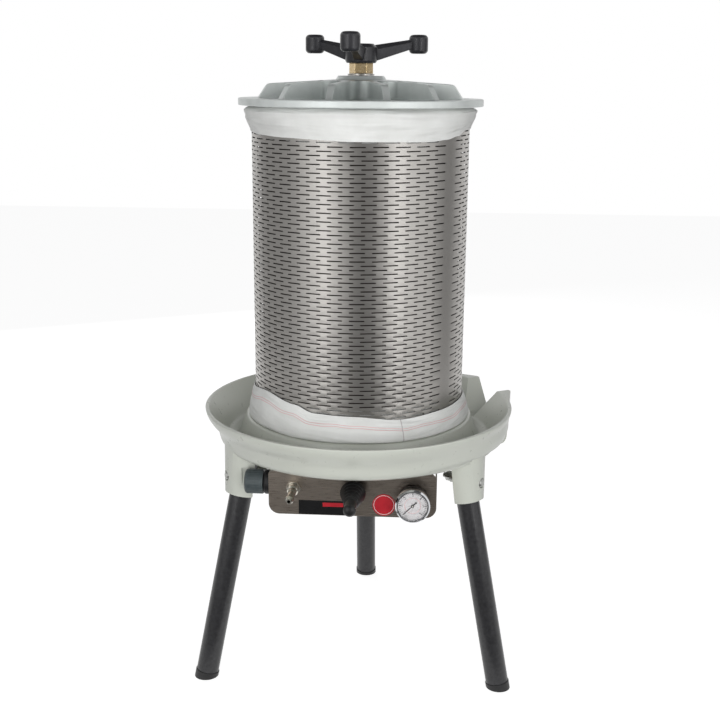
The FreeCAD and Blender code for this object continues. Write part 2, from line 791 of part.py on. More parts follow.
# Lid: a flanged cast dome with radial ribs and a scooped flute between each pair
def lid():
    body = new_body("lid")
    revolve(body, "lid_section", [
        (post_hole, "lid_low"),
        ("lid_radius", "lid_low"),
        ("lid_radius", "lid_top"),
        ("dome_base", "lid_top"),
        ("shoulder_radius", "lid_top + shoulder_rise"),
        ("lid_boss_radius + 3.5", "lid_top + roof_rise"),
        ("lid_boss_radius", "boss_top"),
        (post_hole, "boss_top"),
    ])
    rounded(body, "shoulder_round", "lid_flange * 0.8", ring_test(("shoulder_radius", "lid_top + shoulder_rise")))
    half = "180deg / rib_count"
    wide = f"* tan({half}) - rib_thickness / 2 / cos({half})"
    flute = pad(body, "flute", "XY_Plane", [
        ("flute_centre", f"-(flute_centre {wide})"),
        ("dome_base + 8", f"-((dome_base + 8) {wide})"),
        ("dome_base + 8", f"(dome_base + 8) {wide}"),
        ("flute_centre", f"flute_centre {wide}", f"(flute_centre {wide}) * 1.0001"),
    ], "lid_boss_rise * 2", lift="lid_top", kind="Pocket", reverse=True)
    ring = body.newObject("PartDesign::PolarPattern", "flutes")
    ring.Originals = [flute]
    ring.Axis = (new_sketch(body, "lid_axis", "XY_Plane"), ["N_Axis"])
    ring.Angle = 360
    ring.setExpression("Occurrences", bind("rib_count"))
    body.Tip = ring
    doc.recompute()
    revolve(body, "lid_hollow", [
        ("lid_hub_radius", "lid_low"),
        ("lid_hollow_radius", "lid_low"),
        ("lid_hollow_radius - 6", "lid_low + lid_hollow_depth"),
        ("lid_hub_radius", "lid_low + lid_hollow_depth"),
    ], kind="Groove")
    rounded(body, "rim_edges", "lid_flange * 0.15", ring_test(
        ("lid_radius", "lid_top"), ("lid_radius", "lid_low"), ("lid_boss_radius", "boss_top")))
    body.Placement = about_z(size("lid_turn"))
    keep(body, "lid")


def arm_section(body, name, reach, width, low, high):
    # A five-sided section with a ridge along its top
    sketch = new_sketch(body, name, "YZ_Plane", reach)
    shoulder = f"{low} + (({high}) - ({low})) * 0.72"
    outline(sketch, [
        (f"-{width} / 3", low),
        (f"{width} / 3", low),
        (f"{width} / 2", shoulder),
        ("0", high),
        (f"-{width} / 2", shoulder),
    ])
    return sketch


# Clamping handle: star grip, brass nut and the thrust washer under it
def handle():
    bore = "post_radius + thread_gap"
    keep(turned("thrust_washer", tube_corners(
        post_hole, "washer_radius", "boss_top + 0.2", "boss_top + 0.2 + thrust_thickness")), "thrust_washer")
    nut = padded("brass_nut", "XY_Plane", hexagon("nut_flats"), "nut_height", lift="nut_low")
    pad(nut, "nut_spigot", "XY_Plane", ("0", "0", "spigot_radius"), "spigot_length", lift="hub_low")
    pad(nut, "nut_thread", "XY_Plane", ("0", "0", bore), "nut_height + spigot_length",
        lift="nut_low", kind="Pocket", reverse=True)
    keep(nut, "brass_nut")
    grip = new_body("star_handle")
    hub_top = "hub_low + hub_height"
    revolve(grip, "handle_hub", [
        ("spigot_radius + 0.1", "hub_low"),
        ("hub_outer_radius - 2", "hub_low"),
        ("hub_outer_radius", "hub_low + 3"),
        ("hub_outer_radius", f"{hub_top} - 5"),
        ("hub_outer_radius - 5", hub_top),
        ("0", hub_top),
        ("0", f"{hub_top} - hub_cover"),
        ("spigot_radius - 1", f"{hub_top} - hub_cover"),
        ("spigot_radius - 1", "hub_low + spigot_length + 0.3"),
        ("spigot_radius + 0.1", "hub_low + spigot_length + 0.3"),
    ])
    barrel_low = "hub_low + barrel_rise"
    arm_ends = [
        arm_section(grip, "handle_arm_root", "hub_outer_radius - 6", "arm_width", "hub_low + 2", f"{hub_top} - 2"),
        arm_section(grip, "handle_arm_tip", "arm_reach - barrel_radius + 3", "arm_tip_width",
                    f"{barrel_low} + barrel_height * 0.25", f"{barrel_low} + barrel_height * 0.75"),
    ]
    arm = grip.newObject("PartDesign::AdditiveLoft", "handle_arm")
    arm.Profile = arm_ends[0]
    arm.Sections = [arm_ends[1]]
    arm.Ruled = True
    doc.recompute()
    barrel = pad(grip, "handle_barrel", "XY_Plane", ("arm_reach", "0", "barrel_radius"), "barrel_height", lift=barrel_low)
    star = grip.newObject("PartDesign::PolarPattern", "handle_star")
    star.Originals = [arm, barrel]
    star.Axis = (new_sketch(grip, "handle_axis", "XY_Plane"), ["N_Axis"])
    star.Angle = 360
    star.Occurrences = 3
    grip.Tip = star
    doc.recompute()
    reach = size("arm_reach")
    barrel_radius = size("barrel_radius")

    def barrel_end(edge):
        curve = edge.Curve
        return (isinstance(curve, Part.Circle) and abs(curve.Radius - barrel_radius) < 0.01
                and abs(math.hypot(curve.Center.x, curve.Center.y) - reach) < 0.01 and edge.BoundBox.ZLength < 0.01)

    rounded(grip, "barrel_rounds", "barrel_radius * 0.42", barrel_end)
    grip.Placement = about_z(size("handle_turn"))
    keep(grip, "star_handle")


# Control panel: a bent steel plate under the front of the tray
def panel():
    front = padded("panel_plate", "XZ_Plane", [
        ("panel_left", "panel_bottom + panel_round", "panel_round"),
        ("panel_left + panel_round", "panel_bottom"),
        ("panel_right - panel_round", "panel_bottom", "panel_round"),
        ("panel_right", "panel_bottom + panel_round"),
        ("panel_right", "panel_top - panel_nip"),
        ("panel_right - panel_nip", "panel_top"),
        ("panel_left + panel_nip", "panel_top"),
        ("panel_left", "panel_top - panel_nip"),
    ], "panel_sheet", lift=f"-({panel_back})")
    top = block("panel_top_flange", "panel_right - panel_left - panel_nip * 2", "panel_depth", "panel_sheet",
                shift(size("panel_left + panel_nip"), size("panel_front"), size("panel_top - panel_sheet")))
    sides = [
        block(f"panel_side_{name}", "panel_sheet", "panel_depth", "panel_top - panel_nip - panel_bottom - panel_round",
              shift(size(x), size("panel_front"), size("panel_bottom + panel_round")))
        for name, x in (("left", "panel_left"), ("right", "panel_right - panel_sheet"))
    ]
    holes = [
        cylinder("nipple_hole", "nipple_radius + 1.5 + leg_fit", "panel_sheet * 3",
                 fitting_frame("nipple_offset", "regulator_height", "panel_sheet * 2")),
        cylinder("valve_hole", "boot_radius * 0.4", "panel_sheet * 3",
                 fitting_frame("valve_offset", "regulator_height - 1", "panel_sheet * 2")),
        cylinder("gauge_hole", "tube_radius + 2.2", "panel_sheet * 3",
                 fitting_frame("gauge_offset", gauge_height, "panel_sheet * 2")),
        cylinder("regulator_hole", "regulator_radius * 0.75", "panel_sheet * 3",
                 shift(size("panel_left - panel_sheet"), size(regulator_line), size("regulator_height")) * along_x),
    ]
    holes += [
        cylinder(f"screw_hole_{side}", "panel_screw_radius + leg_fit", "panel_sheet * 3",
                 shift(panel_screw_x(side), size("panel_front + panel_depth / 2"), size("panel_top - panel_sheet * 2")))
        for side in (-1, 1)
    ]
    keep(cut("panel", fuse("panel_bent", [front, top] + sides), fuse("panel_holes", holes)), "panel")
    screw = turned("panel_screw", [
        ("0", "-panel_sheet - 3.5"),
        ("panel_screw_radius + 2", "-panel_sheet - 3.5"),
        ("panel_screw_radius + 2.5", "-panel_sheet - 2.5"),
        ("panel_screw_radius + 2.5", "-panel_sheet"),
        ("panel_screw_radius", "-panel_sheet"),
        ("panel_screw_radius", "10"),
        ("0", "10"),
    ])
    group("panel_screws", screw, [
        shift(panel_screw_x(side), size("panel_front + panel_depth / 2"), size("panel_top")) for side in (-1, 1)])


def fitting_frame(x, z, behind="0"):
    # Local Z points out of the panel towards the user, from a plane behind the panel's face
    return shift(size(x), size(f"panel_front + {behind}"), size(z)) * along_minus_y


def regulator():
    centre = shift(size("panel_left"), size(regulator_line), size("regulator_height")) * along_minus_x
    keep(turned("regulator_body", [
        ("0", "-panel_sheet - regulator_length"),
        ("regulator_radius - 3", "-panel_sheet - regulator_length"),
        ("regulator_radius", "-panel_sheet - regulator_length + 3"),
        ("regulator_radius", "-panel_sheet - 0.2"),
        ("regulator_radius * 0.75 - 0.3", "-panel_sheet - 0.2"),
        ("regulator_radius * 0.75 - 0.3", "0.3"),
        ("0", "0.3"),
    ], centre), "regulator_body")
    keep(turned("regulator_bonnet", [
        ("0", "0.3"),
        ("bonnet_radius", "0.3"),
        ("bonnet_radius", "bonnet_length - 2"),
        ("bonnet_radius - 1.5", "bonnet_length"),
        ("knob_radius * 0.6", "bonnet_length"),
        ("knob_radius * 0.6", "bonnet_length + knob_length - 5"),
        ("0", "bonnet_length + knob_length - 5"),
    ], centre), "regulator_bonnet")
    knob = turned("regulator_knob", [
        ("knob_radius * 0.6 + 0.1", "bonnet_length + knob_gap"),
        ("knob_radius - 0.5", "bonnet_length + knob_gap"),
        ("knob_radius - 0.5", "bonnet_length + knob_gap + knob_length - 2"),
        ("knob_radius - 2.5", "bonnet_length + knob_gap + knob_length"),
        ("0", "bonnet_length + knob_gap + knob_length"),
        ("0", "bonnet_length + knob_length - 4.5"),
        ("knob_radius * 0.6 + 0.1", "bonnet_length + knob_length - 4.5"),
    ])
    rib = pad(knob, "knob_rib", "XY_Plane", [
        ("knob_radius - 1.5", "-0.9"),
        ("knob_radius", "-0.5"),
        ("knob_radius", "0.5"),
        ("knob_radius - 1.5", "0.9"),
    ], "knob_length - 4", lift="bonnet_length + knob_gap + 1")
    ribs = knob.newObject("PartDesign::PolarPattern", "knob_rib_ring")
    ribs.Originals = [rib]
    ribs.Axis = (new_sketch(knob, "knob_axis", "XY_Plane"), ["N_Axis"])
    ribs.Angle = 360
    ribs.setExpression("Occurrences", bind("knob_ribs"))
    knob.Tip = ribs
    doc.recompute()
    knob.Placement = centre
    keep(knob, "regulator_knob")


def air_inlet():
    frame = fitting_frame("nipple_offset", "regulator_height")
    nut = padded("inlet_nut", "XY_Plane", hexagon("nipple_flats"), "6", lift="0.2")
    pad(nut, "inlet_nut_bore", "XY_Plane", ("0", "0", "nipple_radius + 1.5 + 0.1"), "6", lift="0.2", kind="Pocket", reverse=True)
    nut.Placement = frame
    keep(nut, "inlet_nut")
    keep(turned("air_inlet_nipple", [
        ("nipple_radius * 0.5", "-regulator_setback + regulator_radius + 0.3"),
        ("nipple_radius + 1.5", "-regulator_setback + regulator_radius + 0.3"),
        ("nipple_radius + 1.5", "7"),
        ("nipple_radius + 3", "7"),
        ("nipple_radius + 3", "16"),
        ("nipple_radius + 1", "18"),
        ("nipple_radius + 1", "nipple_length - 32"),
        ("nipple_radius", "nipple_length - 30"),
        ("nipple_radius", "nipple_length - 14"),
        ("nipple_radius + 1", "nipple_length - 12"),
        ("nipple_radius + 1", "nipple_length - 6"),
        ("nipple_radius * 0.8", "nipple_length"),
        ("nipple_radius * 0.5", "nipple_length"),
    ], frame), "air_inlet_nipple")


def lever_valve():
    frame = fitting_frame("valve_offset", "regulator_height - 1")
    neck_radius = "boot_radius * 0.4 - 0.3"
    shell = block("valve_block", "valve_body_size", "panel_depth - 4", "valve_body_size + 8",
                  shift(size("valve_offset - valve_body_size / 2"), size(f"{panel_back} + 0.2"),
                        size("regulator_height - 1 - valve_body_size / 2 - 4")))
    neck = cylinder("valve_neck", neck_radius, "panel_sheet + 2.4",
                    fitting_frame("valve_offset", "regulator_height - 1", "panel_sheet + 2"))
    throat = cylinder("valve_throat", "lever_radius + 1.6", "pivot_depth * 2",
                      fitting_frame("valve_offset", "regulator_height - 1", "pivot_depth"))
    across = shift(size(f"valve_offset - ({neck_radius}) + 0.5"), size("panel_front"), size("regulator_height - 1")) * along_x
    pin_hole = cylinder("pivot_hole", "pivot_radius + 0.02", f"({neck_radius}) * 2 + 2", across * shift(0, 0, -1))
    keep(cut("valve_body", fuse("valve_casting", [shell, neck]), fuse("valve_bores", [throat, pin_hole])), "valve_body")
    keep(cylinder("lever_pivot", "pivot_radius", f"({neck_radius}) * 2 - 1", across), "lever_pivot")
    keep(turned("valve_collar", [
        ("boot_radius * 0.4 + 0.1", "0"),
        ("boot_radius * 0.62", "0"),
        ("boot_radius * 0.62", "2"),
        ("boot_radius * 0.4 + 0.1", "2"),
    ], frame), "valve_collar")
    ridges = []
    steps = 6
    for step in range(steps):
        along = f"16 + (lever_length - 42) * {step} / {steps}"
        swell = f"boot_radius - (boot_radius * 0.52) * {step} / {steps}"
        ridges += [(swell, along), (f"{swell} - 2.2", f"{along} + (lever_length - 42) / {steps} * 0.55")]
    back = "boot_setback"
    keep(turned("lever_boot", [
        ("lever_radius + 0.2", back),
        ("boot_radius * 0.5", back),
        ("boot_radius * 0.5", f"{back} + 4"),
    ] + ridges + [
        ("boot_radius * 0.45", "lever_length - 26"),
        ("lever_radius + 0.2", "lever_length - 26"),
    ], frame), "lever_boot")
    rod = turned("lever_bar", [
        ("0", "1 - pivot_depth"),
        ("lever_radius", "1 - pivot_depth"),
        ("lever_radius", "lever_length - 12"),
        ("0", "lever_length - 12"),
    ], frame)
    eye = cylinder("lever_eye", "pivot_radius + 0.05", "lever_radius * 4", across * shift(0, 0, -1))
    keep(cut("lever_rod", rod, eye), "lever_rod")
    keep(turned("lever_grip", [
        ("lever_radius + 0.1", "lever_length - 25.7"),
        ("boot_radius * 0.45", "lever_length - 25.7"),
        ("boot_radius * 0.48", "lever_length - 6", "boot_radius * 0.5"),
        ("boot_radius * 0.08", "lever_length"),
        ("0", "lever_length"),
        ("0", "lever_length - 11.8"),
        ("lever_radius + 0.1", "lever_length - 11.8"),
    ], frame), "lever_grip")


def gauge():
    frame = fitting_frame("gauge_offset", gauge_height)
    bezel_back = "gauge_projection - gauge_bezel_depth"
    dial = f"{bezel_back} + 4"
    keep(turned("gauge_case", [
        ("0", "0.3"),
        ("gauge_case_radius - 5", "0.3"),
        ("gauge_case_radius", "4"),
        ("gauge_case_radius", f"{bezel_back} + 3"),
        ("0", f"{bezel_back} + 3"),
    ], frame), "gauge_case")
    keep(turned("gauge_bezel", [
        ("gauge_case_radius + 0.1", bezel_back),
        ("gauge_radius - 0.6", bezel_back),
        ("gauge_radius", f"{bezel_back} + 1"),
        ("gauge_radius", "gauge_projection - 2"),
        ("gauge_radius - 2", "gauge_projection"),
        ("gauge_dial_radius - 0.5", "gauge_projection"),
        ("gauge_dial_radius - 0.5", "gauge_projection - 1"),
        ("gauge_dial_radius + 0.2", "gauge_projection - 1"),
        ("gauge_dial_radius + 0.2", f"{bezel_back} + 3.2"),
        ("gauge_case_radius + 0.1", f"{bezel_back} + 3.2"),
    ], frame), "gauge_bezel")
    keep(turned("gauge_dial", tube_corners("1", "gauge_dial_radius", f"{bezel_back} + 3.2", dial), frame), "gauge_dial")
    keep(turned("gauge_arbor", [
        ("0", f"{bezel_back} + 3.1"),
        ("0.8", f"{bezel_back} + 3.1"),
        ("0.8", f"{dial} + 2.2"),
        ("0", f"{dial} + 2.2"),
    ], frame), "gauge_arbor")
    keep(turned("gauge_window", [
        ("0", "gauge_projection - 2"),
        ("gauge_dial_radius", "gauge_projection - 2"),
        ("gauge_dial_radius", "gauge_projection - 1.1"),
        ("0", "gauge_projection - 1.1"),
    ], frame), "gauge_window")
    pointer = padded("gauge_pointer", "XY_Plane", [
        ("-pointer_length / 2", "-1.1"),
        ("-pointer_length / 3", "-0.7"),
        ("pointer_length", "-0.25"),
        ("pointer_length", "0.25"),
        ("-pointer_length / 3", "0.7"),
        ("-pointer_length / 2", "1.1"),
    ], "0.6", lift=f"{dial} + 0.8")
    pad(pointer, "pointer_hub", "XY_Plane", ("0", "0", "2.2"), "1", lift=f"{dial} + 0.6")
    pad(pointer, "pointer_bore", "XY_Plane", ("0", "0", "0.85"), "2", lift=f"{dial} + 0.5", kind="Pocket", reverse=True)
    pointer.Placement = frame * about_z(225)
    keep(pointer, "gauge_pointer")
    keep(turned("gauge_stem", [
        ("0", "-panel_depth * 0.6"),
        ("tube_radius + 2", "-panel_depth * 0.6"),
        ("tube_radius + 2", "0"),
        ("0", "0"),
    ], frame), "gauge_stem")


def air_lines():
    line = size(regulator_line)
    reg_end = size("panel_left + panel_sheet + regulator_length")
    valve_left = size("valve_offset - valve_body_size / 2")
    valve_right = size("valve_offset + valve_body_size / 2")
    stem_left = size("gauge_offset - tube_radius - 2")
    height = size("regulator_height")
    keep(cylinder("inlet_tube", "tube_radius", "valve_offset - valve_body_size / 2 - (panel_left + panel_sheet + regulator_length)",
                  shift(reg_end, line, height) * along_x), "inlet_tube")
    keep(cylinder("gauge_tube", "tube_radius - 1", "gauge_offset - tube_radius - 2 - (valve_offset + valve_body_size / 2)",
                  shift(valve_right, line, size(gauge_height)) * along_x), "gauge_tube")
    back = "panel_front + panel_sheet + 0.2 + panel_depth - 4"
    keep(turned("valve_barb", [
        ("0", "0"),
        ("hose_radius + 1", "0"),
        ("hose_radius + 1", "3"),
        ("hose_radius - 2", "3"),
        ("hose_radius - 2", "3 + barb_length"),
        ("0", "3 + barb_length"),
    ], shift(size("valve_offset"), size(back), height) * along_y), "valve_barb")
    port_top = plateau_under
    keep(turned("air_port", [
        ("0", f"{port_top} - 8 - barb_length"),
        ("hose_radius - 2", f"{port_top} - 8 - barb_length"),
        ("hose_radius - 2", f"{port_top} - 8"),
        ("port_radius + 4", f"{port_top} - 8"),
        ("port_radius + 4", port_top),
        ("port_radius", port_top),
        ("port_radius", f"{port_top} + tray_wall + base_thickness"),
        ("0", f"{port_top} + tray_wall + base_thickness"),
    ], shift(size("valve_offset"), -size("port_offset"), 0)), "air_port")
    x = size("valve_offset")
    bend = size("hose_bend")
    start = vector(x, size(f"{back} + 3.2"), height)
    corner = vector(x, -size("port_offset"), height)
    end = vector(x, -size("port_offset"), size(f"{port_top} - 8.2"))
    turn_in = vector(x, corner.y - bend, height)
    turn_out = vector(x, corner.y, height + bend)
    middle = vector(x, corner.y - bend + bend * math.sin(math.pi / 4), height + bend - bend * math.cos(math.pi / 4))
    path = Part.Wire([
        Part.LineSegment(start, turn_in).toShape(),
        Part.Arc(turn_in, middle, turn_out).toShape(),
        Part.LineSegment(turn_out, end).toShape(),
    ])
    outer = Part.Wire(Part.Circle(start, vector(0, 1, 0), size("hose_radius")).toShape())
    inner = Part.Wire(Part.Circle(start, vector(0, 1, 0), size("hose_radius - 1.8")).toShape())
    hose = doc.addObject("Part::Feature", "air_hose")
    hose.Shape = path.makePipeShell([outer], True, True).cut(path.makePipeShell([inner], True, True))
    print("hose volume over section times length",
          hose.Shape.Volume / (math.pi * (size("hose_radius") ** 2 - size("hose_radius - 1.8") ** 2) * path.Length))
    keep(hose, "air_hose")


tray()
for leg_name, leg_azimuth in leg_names.items():
    leg(leg_name, leg_azimuth)
leg_fasteners()
post_and_bladder()
basket()
filter_bag()
lid()
handle()
panel()
regulator()
air_inlet()
lever_valve()
gauge()
air_lines()
doc.recompute()

faults = [thing.Name for thing in doc.Objects if "Invalid" in thing.State or "Error" in thing.State]
faults += [piece.Label for piece in pieces if piece.Shape.isNull() or not piece.Shape.isValid()]
if faults:
    raise RuntimeError(f"These are not sound: {sorted(set(faults))}")

os.makedirs("parts", exist_ok=True)
for piece in pieces:
    piece.Shape.exportStep(f"parts/{piece.Label}.step")
print(len(pieces), "pieces written")
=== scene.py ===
import bmesh
import bpy
import json
import math
from mathutils import Euler, Matrix, Vector


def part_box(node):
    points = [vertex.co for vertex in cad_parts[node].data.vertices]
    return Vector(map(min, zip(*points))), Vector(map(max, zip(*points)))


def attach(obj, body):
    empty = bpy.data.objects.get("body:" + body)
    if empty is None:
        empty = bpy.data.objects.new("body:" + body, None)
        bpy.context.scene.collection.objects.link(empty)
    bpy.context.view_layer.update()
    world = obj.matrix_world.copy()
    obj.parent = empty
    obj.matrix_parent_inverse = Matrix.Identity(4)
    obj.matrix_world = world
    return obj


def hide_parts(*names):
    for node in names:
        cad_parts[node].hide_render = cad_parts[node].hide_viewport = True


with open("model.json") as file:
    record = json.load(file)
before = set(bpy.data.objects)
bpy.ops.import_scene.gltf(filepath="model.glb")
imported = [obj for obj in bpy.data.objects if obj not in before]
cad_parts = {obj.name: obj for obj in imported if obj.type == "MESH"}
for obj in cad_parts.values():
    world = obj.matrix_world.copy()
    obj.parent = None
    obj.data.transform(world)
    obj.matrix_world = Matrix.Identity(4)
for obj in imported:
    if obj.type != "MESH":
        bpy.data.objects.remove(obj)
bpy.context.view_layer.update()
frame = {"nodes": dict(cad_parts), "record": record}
nodes = frame["nodes"]
print("frame loaded,", len(nodes), "nodes")


def linearColour(hexCode):
    parts = [int(hexCode[i:i + 2], 16) / 255 for i in (1, 3, 5)]
    return tuple(p / 12.92 if p <= 0.04045 else ((p + 0.055) / 1.055) ** 2.4 for p in parts) + (1.0,)


def addNode(tree, kind, links=None, **settings):
    new = tree.nodes.new(kind)
    for key, value in settings.items():
        setattr(new, key, value)
    for socket, source in (links or {}).items():
        if isinstance(source, bpy.types.NodeSocket):
            tree.links.new(source, new.inputs[socket])
        else:
            new.inputs[socket].default_value = source
    return new


# camera
camera = {
    "place": (0.1064, -1.6626, 0.9046),
    "pitchDown": 14.383,
    "turnLeft": 3.604,
    "roll": 0.45,
    "lens": 55.41,
}

cameraData = bpy.data.cameras.new("photoCamera")
cameraData.lens = camera["lens"]
cameraData.sensor_width = 36
cameraData.clip_end = 30
cameraObject = bpy.data.objects.new("photoCamera", cameraData)
bpy.context.collection.objects.link(cameraObject)
aim = Euler((math.radians(90 - camera["pitchDown"]), 0, math.radians(camera["turnLeft"]))).to_matrix()
aim = aim @ Matrix.Rotation(math.radians(camera["roll"]), 3, "Z")
cameraObject.location = camera["place"]
cameraObject.rotation_euler = aim.to_euler()
bpy.context.scene.camera = cameraObject

# studio: tall strip lights either side of the camera that only the shiny parts see, grey flags between
# them, one wide soft light in front and a weaker one behind for the rest, white all round
studio = {
    "strips": {  # azimuth from +X, distance, width, lowest and highest point, strength
        "stripLeft": (-121, 1.35, 0.085, 0.14, 1.45, 4.6),
        "stripLeftDim": (-133, 1.36, 0.28, 0.02, 1.45, 0.3),
        "stripRight": (-49.5, 1.35, 0.09, 0.14, 1.45, 4.5),
        "stripRightDim": (-35, 1.36, 0.30, 0.02, 1.45, 0.26),
    },
    "softLights": {
        "softFront": (-84, 2.6, 2.8, 0.0, 1.7, 3.9),
        "softBack": (118, 2.6, 2.8, 0.2, 1.9, 1.7),
    },
    "flags": {  # azimuth, distance, width, lowest and highest point, grey
        "flagFront": (-82, 1.45, 0.85, 0.0, 1.5, 0.16),
        "flagLeft": (178, 1.5, 1.9, 0.0, 1.3, 0.42),
        "flagRight": (14, 1.5, 0.9, 0.0, 1.3, 0.26),
    },
    "floorFlag": (2.4, 1.5, -1.0, 0.002, 0.19),  # width, depth, centre's y and z, grey
    "topFlag": (3.0, 3.0, 0.0, 2.1, 0.10),
    "ambient": 0.26,
    "floorSize": 12.0,
}


def deselectAll():
    if bpy.context.object and bpy.context.object.mode != "OBJECT":
        bpy.ops.object.mode_set(mode="OBJECT")
    bpy.ops.object.select_all(action="DESELECT")


def standAt(thing, azimuth, distance, height):
    # Faces the press axis with its long side upright
    angle = math.radians(azimuth)
    thing.location = (distance * math.cos(angle), distance * math.sin(angle), height)
    inward = Vector((-math.cos(angle), -math.sin(angle), 0))
    thing.rotation_euler = inward.to_track_quat("-Z", "Y").to_euler()


def greyCard(name, width, height, grey):
    # Seen only in reflections
    deselectAll()
    bpy.ops.mesh.primitive_plane_add(size=1)
    flag = bpy.context.object
    flag.name = name
    flag.scale = (width, height, 1)
    material = bpy.data.materials.new(f"{name}Card")
    material.use_nodes = True
    tree = material.node_tree
    tree.nodes.clear()
    glow = addNode(tree, "ShaderNodeEmission", {"Color": (grey, grey, grey, 1), "Strength": 1.0})
    addNode(tree, "ShaderNodeOutputMaterial", {"Surface": glow.outputs[0]})
    flag.data.materials.append(material)
    flag.visible_camera = False
    flag.visible_diffuse = False
    flag.visible_shadow = False
    flag.visible_transmission = False
    return flag


def buildStudio():
    for group, shiny in (("strips", True), ("softLights", False)):
        for name, (azimuth, distance, width, low, high, strength) in studio[group].items():
            data = bpy.data.lights.new(name, "AREA")
            data.shape = "RECTANGLE"
            data.size = width
            data.size_y = high - low
            data.energy = strength * math.pi * width * (high - low)
            lamp = bpy.data.objects.new(name, data)
            bpy.context.collection.objects.link(lamp)
            lamp.visible_camera = False
            lamp.visible_glossy = shiny
            lamp.visible_diffuse = not shiny
            standAt(lamp, azimuth, distance, (low + high) / 2)
    for name, (azimuth, distance, width, low, high, grey) in studio["flags"].items():
        standAt(greyCard(name, width, high - low, grey), azimuth, distance, (low + high) / 2)
    for name in ("floorFlag", "topFlag"):
        width, depth, middle, height, grey = studio[name]
        greyCard(name, width, depth, grey).location = (0, middle, height)

    world = bpy.data.worlds.new("studioWorld")
    bpy.context.scene.world = world
    world.use_nodes = True
    tree = world.node_tree
    tree.nodes.clear()
    path = addNode(tree, "ShaderNodeLightPath")
    seen = addNode(tree, "ShaderNodeMath", {0: path.outputs["Is Camera Ray"], 1: path.outputs["Is Glossy Ray"]}, operation="MAXIMUM")
    seen = addNode(tree, "ShaderNodeMath", {0: seen.outputs[0], 1: path.outputs["Is Transmission Ray"]}, operation="MAXIMUM")
    grey = studio["ambient"]
    lit = addNode(tree, "ShaderNodeMix", {"Factor": seen.outputs[0]}, data_type="RGBA")
    lit.inputs[6].default_value = (grey, grey, grey * 1.01, 1)
    lit.inputs[7].default_value = (1, 1, 1, 1)
    back = addNode(tree, "ShaderNodeBackground", {"Color": lit.outputs[2], "Strength": 1.0})
    addNode(tree, "ShaderNodeOutputWorld", {"Surface": back.outputs[0]})

    # floor: white paper that keeps the press's shadow
    deselectAll()
    bpy.ops.mesh.primitive_plane_add(size=studio["floorSize"], location=(0, 0, 0))
    floor = bpy.context.object
    floor.name = "paperFloor"
    material = bpy.data.materials.new("whitePaperSweep")
    material.use_nodes = True
    tree = material.node_tree
    tree.nodes.clear()
    path = addNode(tree, "ShaderNodeLightPath")
    seen = addNode(tree, "ShaderNodeMath", {0: path.outputs["Is Camera Ray"], 1: path.outputs["Is Glossy Ray"]}, operation="MAXIMUM")
    paper = addNode(tree, "ShaderNodeBsdfDiffuse", {"Color": (0.45, 0.45, 0.45, 1)})
    glow = addNode(tree, "ShaderNodeEmission", {"Color": (1, 1, 1, 1), "Strength": 0.84})
    both = addNode(tree, "ShaderNodeAddShader", {0: paper.outputs[0], 1: glow.outputs[0]})
    plain = addNode(tree, "ShaderNodeBsdfDiffuse", {"Color": (0.6, 0.6, 0.6, 1)})
    pick = addNode(tree, "ShaderNodeMixShader", {0: seen.outputs[0], 1: plain.outputs[0], 2: both.outputs[0]})
    addNode(tree, "ShaderNodeOutputMaterial", {"Surface": pick.outputs[0]})
    floor.data.materials.append(material)
    bpy.context.scene.view_settings.view_transform = "Standard"


buildStudio()
print("studio set up")


# materials
def newMaterial(name, colour, roughness, metallic=0.0, **sockets):
    material = bpy.data.materials.new(name)
    material.use_nodes = True
    shader = material.node_tree.nodes["Principled BSDF"]
    shader.inputs["Base Color"].default_value = linearColour(colour)
    shader.inputs["Roughness"].default_value = roughness
    shader.inputs["Metallic"].default_value = metallic
    for socket, value in sockets.items():
        shader.inputs[socket.replace("_", " ")].default_value = value
    return material, material.node_tree, shader


def objectSpace(tree, stretch=(1, 1, 1)):
    place = addNode(tree, "ShaderNodeTexCoord")
    mapping = addNode(tree, "ShaderNodeMapping", {"Vector": place.outputs["Object"]})
    mapping.inputs["Scale"].default_value = stretch
    return mapping.outputs[0]


def uvSpace(tree, stretch=(1, 1, 1)):
    place = addNode(tree, "ShaderNodeTexCoord")
    mapping = addNode(tree, "ShaderNodeMapping", {"Vector": place.outputs["UV"]})
    mapping.inputs["Scale"].default_value = stretch
    return mapping.outputs[0]


def mottle(tree, shader, space, sizeMm, dark, light, detail=4.0, low=0.3, high=0.7):
    # Colour that drifts between two shades over patches of the given size
    noise = addNode(tree, "ShaderNodeTexNoise", {"Vector": space, "Scale": 1000 / sizeMm, "Detail": detail, "Roughness": 0.55})
    ramp = addNode(tree, "ShaderNodeValToRGB", {"Fac": noise.outputs["Fac"]})
    ramp.color_ramp.elements[0].position = low
    ramp.color_ramp.elements[0].color = linearColour(dark)
    ramp.color_ramp.elements[1].position = high
    ramp.color_ramp.elements[1].color = linearColour(light)
    tree.links.new(ramp.outputs["Color"], shader.inputs["Base Color"])
    return ramp


def roughened(tree, shader, space, sizeMm, low, high, detail=3.0):
    noise = addNode(tree, "ShaderNodeTexNoise", {"Vector": space, "Scale": 1000 / sizeMm, "Detail": detail})
    spread = addNode(tree, "ShaderNodeMapRange", {"Value": noise.outputs["Fac"], "From Min": 0.3, "From Max": 0.7, "To Min": low, "To Max": high})
    tree.links.new(spread.outputs[0], shader.inputs["Roughness"])


def relief(tree, shader, space, sizeMm, depthMm, detail=2.0):
    noise = addNode(tree, "ShaderNodeTexNoise", {"Vector": space, "Scale": 1000 / sizeMm, "Detail": detail})
    bump = addNode(tree, "ShaderNodeBump", {"Height": noise.outputs["Fac"], "Distance": depthMm / 1000, "Strength": 1.0})
    tree.links.new(bump.outputs[0], shader.inputs["Normal"])
    return bump


